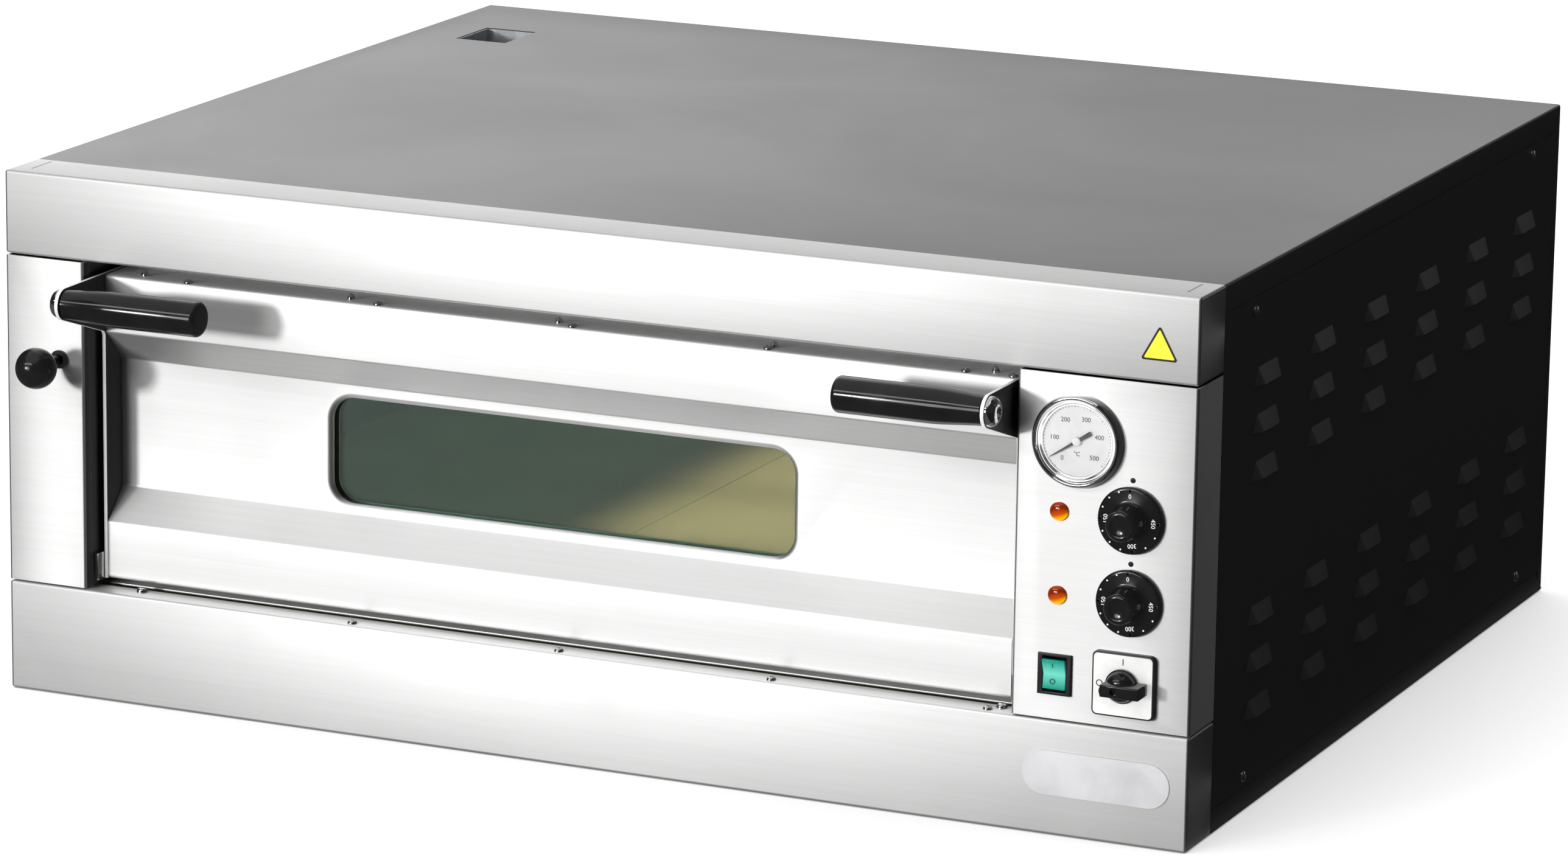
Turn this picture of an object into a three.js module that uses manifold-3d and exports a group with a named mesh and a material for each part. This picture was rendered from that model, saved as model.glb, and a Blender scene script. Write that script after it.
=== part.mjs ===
// A single-deck electric bakery oven for a bench or a stand: a dark coated casing, a brushed steel
// front, a drop-down door with a window, a stone-floored baking chamber, a flue with a sliding
// damper, and a column of controls on the right. Millimetres, +Z up, front facing -Y.
//
// Inside this file a point is (x, y, z): x from the oven's middle to the right, y from the plane of
// the front backwards, z from the underside upwards. The last group moves the origin to the middle
// of the footprint.
import * as THREE from 'three';
import { mergeVertices } from 'three/addons/utils/BufferGeometryUtils.js';
import Module from 'manifold-3d';

const wasm = await Module();
wasm.setup();

// ---------------------------------------------------------------- driving dimensions
const WIDTH = 980;
const DEPTH = 830;
const HEIGHT = 412;
const SHEET = 1.5; // sheet thickness of casing, front and chamber
const GAP = 0.3; // play kept between pieces that touch
const HALF = WIDTH / 2;

const WRAP = 49; // how far the steel front wraps round the sides and top
const SHELF_Z = 87; // floor of the door recess
const RECESS = { left: -422, right: 351, top: 347 };
const RAIL = 19; // upturned flange of the base tray
const FOLD = 21; // downward fold of the top cover
const REAR_FLANGE = 13; // forward flange of the rear panel

const CHAMBER = { x0: -386, x1: 314, y0: 66, y1: 766, floor: 138, roof: 278 };
const STONE = 20; // thickness of the baking stones
const STONE_JOINT = 0.6;
const ELEMENT_RADIUS = 4;

const PIVOT = { y: 31, z: 102 }; // door hinge axis, along X
const DOOR = { x0: -417, x1: 346, front: 20, back: 60, z0: 92.6, z1: 333.5 };
const END_PLATE = 3;
const BAND = 45; // height of the flat bands above and below the sunk panel
const SLOPE = 24.6; // height of the slopes into the sunk panel
const SUNK = 43.7; // where the sunk panel lies, behind the front plane
const WINDOW = { x: -37, z: 211, w: 386, h: 83, r: 18 };
const PANE = { w: 410, h: 107, t: 4 };
const HANDLE = { y: -40, z: 322, length: 117, rEnd: 13.75, rRoot: 11.15 };
const ARM_RADIUS = 12.5;
const ARM_ROOT_Z = 291.5; // where the arm's lower edge meets the door's face

const FLUE = { x0: -440.5, x1: -394, y0: 667, y1: 726, bottom: 224, wall: 1.2 };
const DAMPER = { x: -443, z: 268, rod: 4, ball: 16, ballY: -36, travel: 54 };

const THERMOMETER = { x: 399, z: 298, r: 34.75, proud: 8 };
const LAMPS = [['signal_lamp_upper', 244], ['signal_lamp_lower', 181.5]];
const LAMP_X = 385.5;
const THERMOSTATS = [['upper', 244], ['lower', 182.5]];
const THERMOSTAT_X = 441.5;
const ROCKER = { x: 385, z: 122, w: 26, h: 31 };
const SWITCH = { x: 439.5, z: 121, side: 48 };
const GLAND = { x: 430, z: 60, r: 16.5, reach: 26, hole: 13 };

const FRONT_REACH = HANDLE.y - HANDLE.rEnd; // foremost point, the round of the handles
const MIDDLE_Y = (FRONT_REACH + DEPTH + GLAND.reach) / 2;

// ---------------------------------------------------------------- shape helpers
const ROUND = 16; // segments of a turned piece

function box(x0, x1, y0, y1, z0, z1) {
  const shape = new THREE.BoxGeometry(x1 - x0, y1 - y0, z1 - z0);
  return shape.translate((x0 + x1) / 2, (y0 + y1) / 2, (z0 + z1) / 2);
}

// A prism along one axis. The outline's points are (y, z) for 'x', (x, z) for 'y', (x, y) for 'z'.
function prism(axis, outline, from, to, curveSegments = 6) {
  const drawn = Array.isArray(outline);
  const shape = drawn ? new THREE.Shape(outline.map((p) => new THREE.Vector2(...p))) : outline;
  const solid = new THREE.ExtrudeGeometry(shape, { depth: to - from, bevelEnabled: false, curveSegments });
  if (axis === 'z') return solid.translate(0, 0, from);
  if (axis === 'y') return solid.rotateX(Math.PI / 2).translate(0, to, 0);
  const turn = new THREE.Matrix4().makeBasis(
    new THREE.Vector3(0, 1, 0), new THREE.Vector3(0, 0, 1), new THREE.Vector3(1, 0, 0));
  return solid.applyMatrix4(turn).translate(from, 0, 0);
}

function roundedRect(cx, cy, w, h, r) {
  const shape = new THREE.Shape();
  const [x, y] = [w / 2 - r, h / 2 - r];
  shape.absarc(cx + x, cy + y, r, 0, Math.PI / 2);
  shape.absarc(cx - x, cy + y, r, Math.PI / 2, Math.PI);
  shape.absarc(cx - x, cy - y, r, Math.PI, Math.PI * 1.5);
  shape.absarc(cx + x, cy - y, r, Math.PI * 1.5, Math.PI * 2);
  return shape;
}

function circle(cx, cy, r) {
  const shape = new THREE.Shape();
  shape.absarc(cx, cy, r, 0, Math.PI * 2);
  return shape;
}

// A turned piece about the Y axis through (x, z). The profile's points are (radius, y).
function turnedY(profile, x, z, segments = ROUND) {
  const points = profile.map(([r, y]) => new THREE.Vector2(r, y));
  if (THREE.ShapeUtils.area(points) < 0) points.reverse();
  return new THREE.LatheGeometry(points, segments).translate(x, 0, z);
}

// A turned piece about the X axis through (y, z). The profile's points are (radius, x).
function turnedX(profile, y, z, segments = ROUND) {
  const flipped = profile.map(([r, x]) => [r, -x]);
  return turnedY(flipped, 0, 0, segments).rotateZ(Math.PI / 2).translate(0, y, z);
}

// Points of an arc in a profile, from angle a to angle b in degrees.
function arc(cr, cy, r, a, b, steps) {
  const points = [];
  for (let i = 0; i <= steps; i += 1) {
    const angle = THREE.MathUtils.degToRad(a + ((b - a) * i) / steps);
    points.push([Math.max(0, cr + r * Math.cos(angle)), cy + r * Math.sin(angle)]);
  }
  return points;
}

// The closed outline of a bent sheet: the run of outer points, then the same run set back by t.
function bentSheet(outer, t) {
  const inner = outer.map((point, i) => {
    const before = outer[Math.max(0, i - 1)];
    const after = outer[Math.min(outer.length - 1, i + 1)];
    const normals = [[before, point], [point, after]]
      .filter(([a, b]) => a !== b)
      .map(([a, b]) => new THREE.Vector2(-(b[1] - a[1]), b[0] - a[0]).normalize());
    const first = normals[0];
    const last = normals[normals.length - 1];
    const miter = first.clone().add(last).normalize();
    return [point[0] + (miter.x * t) / miter.dot(first), point[1] + (miter.y * t) / miter.dot(first)];
  });
  return [...outer, ...inner.reverse()];
}

function toSolid(geometry) {
  const bare = geometry.clone();
  bare.deleteAttribute('normal');
  bare.deleteAttribute('uv');
  const merged = mergeVertices(bare, 1e-3);
  const corners = merged.index.array;
  const kept = [];
  for (let i = 0; i < corners.length; i += 3) {
    const [a, b, c] = [corners[i], corners[i + 1], corners[i + 2]];
    if (a !== b && b !== c && c !== a) kept.push(a, b, c);
  }
  return new wasm.Manifold(new wasm.Mesh({
    numProp: 3,
    vertProperties: new Float32Array(merged.attributes.position.array),
    triVerts: new Uint32Array(kept),
  }));
}

function toGeometry(solid) {
  const result = solid.getMesh();
  const geometry = new THREE.BufferGeometry();
  geometry.setAttribute('position', new THREE.BufferAttribute(result.vertProperties, 3));
  geometry.setIndex(new THREE.BufferAttribute(result.triVerts, 1));
  geometry.computeVertexNormals();
  return geometry;
}

// The base with every piece of `add` joined on and then every piece of `cut` taken out.
function shaped(base, { add = [], cut = [] }) {
  let solid = toSolid(base);
  for (const piece of add) solid = solid.add(toSolid(piece));
  for (const piece of cut) solid = solid.subtract(toSolid(piece));
  return toGeometry(solid);
}

// A path given station by station, so that a straight run takes one step and a bend takes several.
class StationPath extends THREE.Curve {
  constructor(stations) {
    super();
    this.stations = stations;
  }

  station(u) {
    return this.stations[Math.round(u * (this.stations.length - 1))];
  }

  getPoint(u) {
    return this.station(u).point.clone();
  }

  getPointAt(u) {
    return this.getPoint(u);
  }

  getTangentAt(u) {
    return this.station(u).tangent.clone();
  }
}

function tube(stations, radius) {
  const path = new StationPath(stations);
  const section = circle(0, 0, radius);
  const steps = stations.length - 1;
  return new THREE.ExtrudeGeometry(section, { steps, extrudePath: path, curveSegments: 4 });
}

// ---------------------------------------------------------------- finishes
function finish(color, roughness, metalness) {
  return () => new THREE.MeshStandardMaterial({ color, roughness, metalness });
}
const coatedSteel = finish(0x24262a, 0.55, 0.2);
const brushedSteel = finish(0xc9cacb, 0.32, 1);
const chamberSteel = finish(0xa8a9a6, 0.45, 0.9);
const galvanised = finish(0xb2b7ba, 0.4, 0.9);
const chrome = finish(0xe4e6e8, 0.08, 1);
const bakelite = finish(0x111112, 0.12, 0);
const fireclay = finish(0xb9ab87, 0.95, 0);
const mineralWool = finish(0xb8a870, 1, 0);
const sheathSteel = finish(0x5c5f58, 0.5, 0.7);
const sealRope = finish(0x8c8a82, 1, 0);
const amberLens = finish(0xd07a20, 0.15, 0);
const greenLens = finish(0x2f9a86, 0.2, 0);
const greyPlastic = finish(0x8d9093, 0.5, 0);
const blackPlastic = finish(0x1a1b1d, 0.4, 0);
const dialWhite = finish(0xdad9d4, 0.5, 0);
const clearGlass = () => new THREE.MeshStandardMaterial({
  color: 0x9fb0a8, roughness: 0.05, metalness: 0, transparent: true, opacity: 0.35,
});

const oven = new THREE.Group();
const door = new THREE.Group();

function place(group, name, geometry, makeMaterial) {
  const mesh = new THREE.Mesh(geometry, makeMaterial());
  mesh.name = name;
  group.add(mesh);
}

// ---------------------------------------------------------------- casing
function topCover() {
  const shell = box(-HALF, HALF, WRAP + GAP, DEPTH, HEIGHT - FOLD + GAP, HEIGHT);
  const inside = box(-HALF + SHEET, HALF - SHEET, WRAP - 1, DEPTH - SHEET, 0, HEIGHT - SHEET);
  const flueHole = box(FLUE.x0, FLUE.x1, FLUE.y0, FLUE.y1, 0, HEIGHT + 1);
  return shaped(shell, { cut: [inside, flueHole] });
}

const LOUVRE = { length: 49, height: 13, proud: 5, wall: 1.2, pitch: 120, first: 118, count: 6 };
const LOUVRE_ROWS = [71, 107, 142.5, 252.5, 288, 323.5];

// One hood: a wedge that stands out most at its open lower edge.
function louvreHood(y, z, inset, drop) {
  const out = HALF + LOUVRE.proud - inset;
  const root = HALF - (inset ? SHEET + 1 : SHEET / 2);
  const top = z + LOUVRE.height - 2 * inset;
  return prism('y', [[root, z - drop], [out, z - drop], [out, z + 2.5], [HALF, top], [root, top]],
    y + inset, y + LOUVRE.length - inset);
}

function sidePanel(side) {
  const plate = box(HALF - SHEET, HALF, WRAP + 1, DEPTH - REAR_FLANGE - GAP, RAIL + GAP, HEIGHT - FOLD);
  const add = [];
  const cut = [];
  for (const z of LOUVRE_ROWS) {
    for (let i = 0; i < LOUVRE.count; i += 1) {
      const y = LOUVRE.first + i * LOUVRE.pitch;
      add.push(louvreHood(y, z, 0, 0));
      cut.push(louvreHood(y, z, LOUVRE.wall, 1));
    }
  }
  const panel = toSolid(shaped(plate, { add, cut }));
  return toGeometry(side > 0 ? panel : panel.mirror([1, 0, 0]));
}

const RAIL_CUT = 17; // the base tray's flange is cut off at 45 degrees at the rear

function baseTray() {
  const shell = box(-HALF, HALF, WRAP + GAP, DEPTH, 0, RAIL);
  const inside = box(-HALF + SHEET, HALF - SHEET, WRAP - 1, DEPTH + 1, SHEET, RAIL + 1);
  const corner = [[DEPTH - RAIL_CUT, RAIL + 1], [DEPTH - RAIL_CUT, RAIL], [DEPTH + 1, RAIL - RAIL_CUT - 1],
    [DEPTH + 1, RAIL + 1]];
  return shaped(shell, { cut: [inside, prism('x', corner, -HALF - 1, HALF + 1)] });
}

function rearPanel() {
  const front = DEPTH - REAR_FLANGE;
  const shell = box(-HALF, HALF, front, DEPTH, RAIL - RAIL_CUT, HEIGHT - FOLD);
  const inside = box(-HALF + SHEET, HALF - SHEET, front - 1, DEPTH - SHEET, -1, HEIGHT);
  const rise = RAIL - RAIL_CUT + 0.5;
  const corner = [
    [front - 1, -1], [DEPTH + 1, -1], [DEPTH + 1, rise - 1], [front - 1, rise + REAR_FLANGE + 1],
  ];
  const entry = prism('y', circle(GLAND.x, GLAND.z, GLAND.hole), DEPTH - 5, DEPTH + 5);
  return shaped(shell, { cut: [inside, prism('x', corner, -HALF - 1, HALF + 1), entry] });
}

place(oven, 'top_cover', topCover(), coatedSteel);
place(oven, 'side_panel_left', sidePanel(-1), coatedSteel);
place(oven, 'side_panel_right', sidePanel(1), coatedSteel);
place(oven, 'base_tray', baseTray(), coatedSteel);
place(oven, 'rear_panel', rearPanel(), coatedSteel);

// ---------------------------------------------------------------- steel front
const SEAM = 1.4; // open seam between the front's pieces
const RETURN = 10; // depth of the columns' inner flange
const SHELF_RETURN = 21; // depth of the bottom fascia's shelf in front of the door

function topFascia() {
  const shell = box(-HALF, HALF, 0, WRAP, RECESS.top, HEIGHT);
  const inside = box(-HALF + SHEET, HALF - SHEET, SHEET, WRAP + 1, RECESS.top + SHEET, HEIGHT - SHEET);
  return shaped(shell, { cut: [inside] });
}

function bottomFascia() {
  const top = SHELF_Z - SEAM + 1;
  const shell = box(-HALF, HALF, 0, WRAP, 0, top);
  const inside = box(-HALF + SHEET, HALF - SHEET, SHEET, WRAP + 1, SHEET, top - SHEET);
  const shelfEdge = box(RECESS.left - 2.5, RECESS.right + 2.5, SHELF_RETURN, WRAP + 1, top - 5, top + 1);
  return shaped(shell, { cut: [inside, shelfEdge] });
}

function column(x0, x1, innerFlange, cutters) {
  const z0 = SHELF_Z + 1;
  const z1 = RECESS.top - SEAM;
  const inside = box(x0 + SHEET, x1 - SHEET, SHEET, WRAP + 1, 0, HEIGHT);
  const flange = box(innerFlange - 2, innerFlange + 2, RETURN, WRAP + 1, 0, HEIGHT);
  return shaped(box(x0, x1, 0, WRAP, z0, z1), { cut: [inside, flange, ...cutters] });
}

function hole(x, z, r) {
  return prism('y', circle(x, z, r), -5, 8, 12);
}

place(oven, 'top_fascia', topFascia(), brushedSteel);
place(oven, 'bottom_fascia', bottomFascia(), brushedSteel);
const rodHole = hole(DAMPER.x, DAMPER.z, DAMPER.rod + 1.5);
place(oven, 'left_column', column(-HALF, RECESS.left, RECESS.left, [rodHole]), brushedSteel);
const controlCuts = [
  hole(THERMOMETER.x, THERMOMETER.z, 30.3),
  ...LAMPS.map(([, z]) => hole(LAMP_X, z, 5.6)),
  ...THERMOSTATS.map(([, z]) => hole(THERMOSTAT_X, z, 5)),
  box(ROCKER.x - 11.3, ROCKER.x + 11.3, -5, 8, ROCKER.z - 14.9, ROCKER.z + 14.9),
  hole(SWITCH.x, SWITCH.z, 12),
];
place(oven, 'control_panel', column(RECESS.right, HALF, RECESS.right, controlCuts), brushedSteel);

// The tray behind the door: side walls, soffit and sill, and a back plate with the chamber's mouth.
const MOUTH_FRAME_Y = 64;

function mouthFrame() {
  const outer = box(RECESS.left - SHEET, RECESS.right + SHEET, RETURN + GAP, MOUTH_FRAME_Y + SHEET,
    SHELF_Z - SHEET, RECESS.top - GAP);
  const inside = box(RECESS.left, RECESS.right, 0, MOUTH_FRAME_Y, SHELF_Z, RECESS.top - GAP - SHEET);
  const groove = box(-HALF, HALF, 0, 29, 0, SHELF_Z);
  const mouth = box(CHAMBER.x0, CHAMBER.x1, 50, 80, CHAMBER.floor - 0.5, CHAMBER.roof);
  return shaped(outer, { cut: [inside, groove, mouth] });
}
place(oven, 'mouth_frame', mouthFrame(), brushedSteel);

function mouthSeal() {
  const [w, h] = [CHAMBER.x1 - CHAMBER.x0, CHAMBER.roof - CHAMBER.floor];
  const [cx, cz] = [(CHAMBER.x0 + CHAMBER.x1) / 2, (CHAMBER.floor + CHAMBER.roof) / 2];
  const ring = roundedRect(cx, cz, w + 28, h + 26, 14);
  ring.holes.push(roundedRect(cx, cz, w + 14, h + 12, 7));
  return prism('y', ring, DOOR.back + GAP, MOUTH_FRAME_Y - GAP, 4);
}
place(oven, 'mouth_seal', mouthSeal(), sealRope);

// ---------------------------------------------------------------- baking chamber
const LEDGE = 14; // flange that carries the stones
const STONE_BOTTOM = CHAMBER.floor - STONE;
const FLOOR_PAN_Z = 91;
const LOWER_ELEMENT_Z = 106;
const UPPER_ELEMENT_Z = 268;
const ELEMENT_ENDS_Y = [156, 676];
const LAMP = { y: 240, z: 232, r: 28 };
const PORT = { y0: 674, y1: 719, z0: 232, z1: 260 }; // from the chamber into the flue

function chamberSide(side) {
  const face = side < 0 ? CHAMBER.x0 : CHAMBER.x1;
  const [x0, x1] = side < 0 ? [face - SHEET, face] : [face, face + SHEET];
  const [ledge0, ledge1] = side < 0 ? [face - 0.5, face + LEDGE] : [face - LEDGE, face + 0.5];
  const ledge = box(ledge0, ledge1, CHAMBER.y0, CHAMBER.y1, STONE_BOTTOM - GAP - SHEET, STONE_BOTTOM - GAP);
  const cut = [];
  if (side < 0) {
    cut.push(box(face - 10, face + 1, PORT.y0, PORT.y1, PORT.z0, PORT.z1));
  } else {
    cut.push(prism('x', circle(LAMP.y, LAMP.z, LAMP.r + 1), face - 5, face + 5, 12));
    for (const y of ELEMENT_ENDS_Y) {
      for (const z of [LOWER_ELEMENT_Z, UPPER_ELEMENT_Z]) {
        cut.push(prism('x', circle(y, z, ELEMENT_RADIUS + 1), face - 5, face + 5));
      }
    }
  }
  const wall = box(x0, x1, CHAMBER.y0, CHAMBER.y1, FLOOR_PAN_Z + SHEET + GAP, CHAMBER.roof + SHEET);
  return shaped(wall, { add: [ledge], cut });
}

const [OUT0, OUT1] = [CHAMBER.x0 - SHEET, CHAMBER.x1 + SHEET];
const ROOF_TOP = CHAMBER.roof + 2 * SHEET + GAP;
place(oven, 'chamber_side_left', chamberSide(-1), chamberSteel);
place(oven, 'chamber_side_right', chamberSide(1), chamberSteel);
place(oven, 'chamber_roof',
  box(OUT0, OUT1, CHAMBER.y0, CHAMBER.y1, ROOF_TOP - SHEET, ROOF_TOP), chamberSteel);
place(oven, 'chamber_back',
  box(OUT0, OUT1, CHAMBER.y1 + GAP, CHAMBER.y1 + GAP + SHEET, FLOOR_PAN_Z, ROOF_TOP), chamberSteel);
place(oven, 'floor_pan',
  box(OUT0, OUT1, CHAMBER.y0, CHAMBER.y1, FLOOR_PAN_Z, FLOOR_PAN_Z + SHEET), chamberSteel);

const STONE_MIDDLE = (CHAMBER.x0 + CHAMBER.x1) / 2;
const STONES = [
  ['baking_stone_left', CHAMBER.x0 + 0.4, STONE_MIDDLE - STONE_JOINT / 2],
  ['baking_stone_right', STONE_MIDDLE + STONE_JOINT / 2, CHAMBER.x1 - 0.4],
];
for (const [name, x0, x1] of STONES) {
  place(oven, name, box(x0, x1, CHAMBER.y0 + 0.4, CHAMBER.y1 - 0.4, STONE_BOTTOM, CHAMBER.floor), fireclay);
}
// The bar under the joint of the two stones.
place(oven, 'stone_support',
  box(STONE_MIDDLE - 12, STONE_MIDDLE + 12, CHAMBER.y0 + 0.4, CHAMBER.y1 - 0.4,
    STONE_BOTTOM - 6, STONE_BOTTOM - GAP), chamberSteel);

// A heating element: one rod that goes to and fro four times between its two ends on the right.
function heatingElement(z) {
  const [yFirst, yLast] = ELEMENT_ENDS_Y;
  const step = (yLast - yFirst) / 3;
  const bend = step / 2;
  const [left, right] = [CHAMBER.x0 + 50 + bend, CHAMBER.x1 - 50 - bend];
  const stations = [];
  const put = (x, y, tx, ty) => stations.push({
    point: new THREE.Vector3(x, y, z), tangent: new THREE.Vector3(tx, ty, 0),
  });
  const turn = (cx, cy, side) => {
    for (let i = 0; i <= 6; i += 1) {
      const angle = -Math.PI / 2 + (Math.PI * i) / 6;
      put(cx + side * bend * Math.cos(angle), cy + bend * Math.sin(angle),
        -side * Math.sin(angle), Math.cos(angle));
    }
  };
  put(CHAMBER.x1 + 22, yFirst, -1, 0);
  turn(left, yFirst + bend, -1);
  turn(right, yFirst + step + bend, 1);
  turn(left, yFirst + 2 * step + bend, -1);
  put(CHAMBER.x1 + 22, yLast, 1, 0);
  return tube(stations, ELEMENT_RADIUS);
}
place(oven, 'upper_element', heatingElement(UPPER_ELEMENT_Z), sheathSteel);
place(oven, 'lower_element', heatingElement(LOWER_ELEMENT_Z), sheathSteel);

// The chamber lamp's glass, a low dome that stands into the chamber through the right wall.
place(oven, 'chamber_lamp_glass',
  turnedX([[0, CHAMBER.x1 + 6], [LAMP.r, CHAMBER.x1 + 6], [LAMP.r, CHAMBER.x1 - 1],
    [LAMP.r - 6, CHAMBER.x1 - 5], [LAMP.r - 16, CHAMBER.x1 - 6.5], [0, CHAMBER.x1 - 7]], LAMP.y, LAMP.z),
  clearGlass);

// ---------------------------------------------------------------- insulation
const WOOL_GAP = 1;
const BACK_WOOL_Y = CHAMBER.y1 + SHEET + 2 * WOOL_GAP;
const LEFT_WOOL = OUT0 - WOOL_GAP;
const CONTROL_WALL = 349; // the wool ends here and the room for the wiring starts
const PLATE_Z = DAMPER.z - 1;

// One blanket lies over the chamber and hangs down behind it.
place(oven, 'wool_blanket', shaped(
  box(-HALF + 3, CONTROL_WALL, CHAMBER.y0, DEPTH - 4, ROOF_TOP + WOOL_GAP, HEIGHT - 4),
  {
    add: [box(-HALF + 3, CONTROL_WALL, BACK_WOOL_Y, DEPTH - 16, FLOOR_PAN_Z + GAP, ROOF_TOP + 2 * WOOL_GAP)],
    cut: [box(FLUE.x0 - 1, FLUE.x1 + 1, FLUE.y0 - 1, FLUE.y1 + 1, 0, HEIGHT)],
  }), mineralWool);
place(oven, 'wool_bottom',
  box(-HALF + 3, CONTROL_WALL, CHAMBER.y0, DEPTH - 16, SHEET + WOOL_GAP, FLOOR_PAN_Z - WOOL_GAP),
  mineralWool);
place(oven, 'wool_left', shaped(
  box(-HALF + 3, LEFT_WOOL, CHAMBER.y0, BACK_WOOL_Y - WOOL_GAP, FLOOR_PAN_Z + GAP, ROOF_TOP),
  {
    cut: [
      box(FLUE.x0 - 1, LEFT_WOOL + 1, FLUE.y0 - 1, FLUE.y1 + 1, FLUE.bottom - 1, HEIGHT),
      box(DAMPER.x - 8, FLUE.x1 + 1, 0, FLUE.y0, DAMPER.z - 8, DAMPER.z + 8),
    ],
  }), mineralWool);
place(oven, 'wool_right', shaped(
  box(OUT1 + WOOL_GAP, CONTROL_WALL, CHAMBER.y0, BACK_WOOL_Y - WOOL_GAP, FLOOR_PAN_Z + GAP, ROOF_TOP),
  {
    cut: [
      prism('x', circle(LAMP.y, LAMP.z, LAMP.r + 2), 300, CONTROL_WALL + 1),
      ...ELEMENT_ENDS_Y.flatMap((y) => [LOWER_ELEMENT_Z, UPPER_ELEMENT_Z].map(
        (z) => prism('x', circle(y, z, ELEMENT_RADIUS + 1), 300, CONTROL_WALL + 1))),
    ],
  }), mineralWool);

// ---------------------------------------------------------------- flue and damper
function flueDuct() {
  const [x0, x1] = [FLUE.x0 + GAP, FLUE.x1 - GAP];
  const [y0, y1] = [FLUE.y0 + GAP, FLUE.y1 - GAP];
  const w = FLUE.wall;
  const inside = box(x0 + w, x1 - w, y0 + w, y1 - w, FLUE.bottom + w, HEIGHT + 1);
  const port = box(x1 - 5, x1 + 5, PORT.y0, PORT.y1, PORT.z0, PORT.z1);
  const slot = box(x0 + w, x1 - w, y0 - 5, y0 + 5, PLATE_Z - 1.6, PLATE_Z + 1.6);
  return shaped(box(x0, x1, y0, y1, FLUE.bottom, HEIGHT - 0.6), { cut: [inside, port, slot] });
}
place(oven, 'flue_duct', flueDuct(), galvanised);

// The rod welded to the sliding plate: pushed in, the plate shuts the duct.
function damperSlide() {
  const neck = DAMPER.ballY + DAMPER.ball + 4 + GAP;
  const rod = turnedY([[0, neck], [DAMPER.rod, neck], [DAMPER.rod, 620], [0, 620]], DAMPER.x, DAMPER.z, 12);
  const tongue = box(FLUE.x0 + 2.4, FLUE.x1 - 2.4, 560, FLUE.y1 - 2.5, PLATE_Z - 0.75, PLATE_Z + 0.75);
  const wing = box(DAMPER.x - 6, FLUE.x0 + 4, 560, 600, PLATE_Z - 0.75, PLATE_Z + 0.75);
  return shaped(rod, { add: [wing, tongue] });
}
place(oven, 'damper_slide', damperSlide(), galvanised);

const NECK_Y = DAMPER.ballY + DAMPER.ball;
place(oven, 'damper_knob', turnedY([
  ...arc(0, DAMPER.ballY, DAMPER.ball, -90, 66, 7), [6, NECK_Y + 1], [6, NECK_Y + 4], [0, NECK_Y + 4],
], DAMPER.x, DAMPER.z), bakelite);

// ---------------------------------------------------------------- hinges
const PIN_RADIUS = 4;
const PIN_HOLE = PIN_RADIUS + GAP;

for (const [side, wall, plate] of [['left', RECESS.left, DOOR.x0], ['right', RECESS.right, DOOR.x1]]) {
  const inward = side === 'left' ? 1 : -1;
  const [x0, x1] = [wall + inward * GAP, plate - inward * GAP].sort((a, b) => a - b);
  const bore = prism('x', circle(PIVOT.y, PIVOT.z, PIN_HOLE), -HALF, HALF);
  const bracket = new THREE.Shape();
  bracket.moveTo(12, SHELF_Z + GAP);
  bracket.lineTo(46, SHELF_Z + GAP);
  bracket.absarc(PIVOT.y, PIVOT.z, 15, 0, Math.PI);
  place(oven, `hinge_bracket_${side}`, shaped(prism('x', bracket, x0, x1), { cut: [bore] }), brushedSteel);
  const inner = plate + inward * (END_PLATE + 2 * GAP);
  place(oven, `hinge_pin_${side}`, turnedX([
    [0, wall + inward * 2 * GAP], [PIN_RADIUS, wall + inward * 2 * GAP], [PIN_RADIUS, inner],
    [6.5, inner], [6.5, inner + inward * 2.5], [0, inner + inward * 2.5],
  ], PIVOT.y, PIVOT.z, 16), chrome);
}

// ---------------------------------------------------------------- door
const SKIN = { x0: DOOR.x0 + END_PLATE + GAP, x1: DOOR.x1 - END_PLATE - GAP };

// The front skin's outer line, from the rear edge of its top to the rear edge of its underside.
const SKIN_LINE = [
  [DOOR.back - SHEET - GAP, DOOR.z1],
  [DOOR.front, DOOR.z1],
  [DOOR.front, DOOR.z1 - BAND],
  [SUNK, DOOR.z1 - BAND - SLOPE],
  [SUNK, DOOR.z0 + BAND + SLOPE],
  [DOOR.front, DOOR.z0 + BAND],
  [DOOR.front, DOOR.z0],
  [DOOR.back - SHEET - GAP, DOOR.z0],
];

function windowCutter() {
  const outline = roundedRect(WINDOW.x, WINDOW.z, WINDOW.w, WINDOW.h, WINDOW.r);
  return prism('y', outline, DOOR.front, DOOR.back + 5, 5);
}

place(door, 'door_front_skin',
  shaped(prism('x', bentSheet(SKIN_LINE, SHEET), SKIN.x0, SKIN.x1), { cut: [windowCutter()] }), brushedSteel);
place(door, 'door_inner_panel',
  shaped(box(SKIN.x0, SKIN.x1, DOOR.back - SHEET, DOOR.back, DOOR.z0, DOOR.z1), { cut: [windowCutter()] }),
  brushedSteel);

// The outer pane stands back from the sunk panel by the depth of the window's rolled edge.
const ROLLED_EDGE = 4.5;
const PANE_Y = [SUNK + ROLLED_EDGE, DOOR.back - SHEET - GAP - PANE.t];
['window_pane_outer', 'window_pane_inner'].forEach((name, i) => {
  place(door, name, prism('y', roundedRect(WINDOW.x, WINDOW.z, PANE.w, PANE.h, 6),
    PANE_Y[i], PANE_Y[i] + PANE.t, 2), clearGlass);
});

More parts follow.
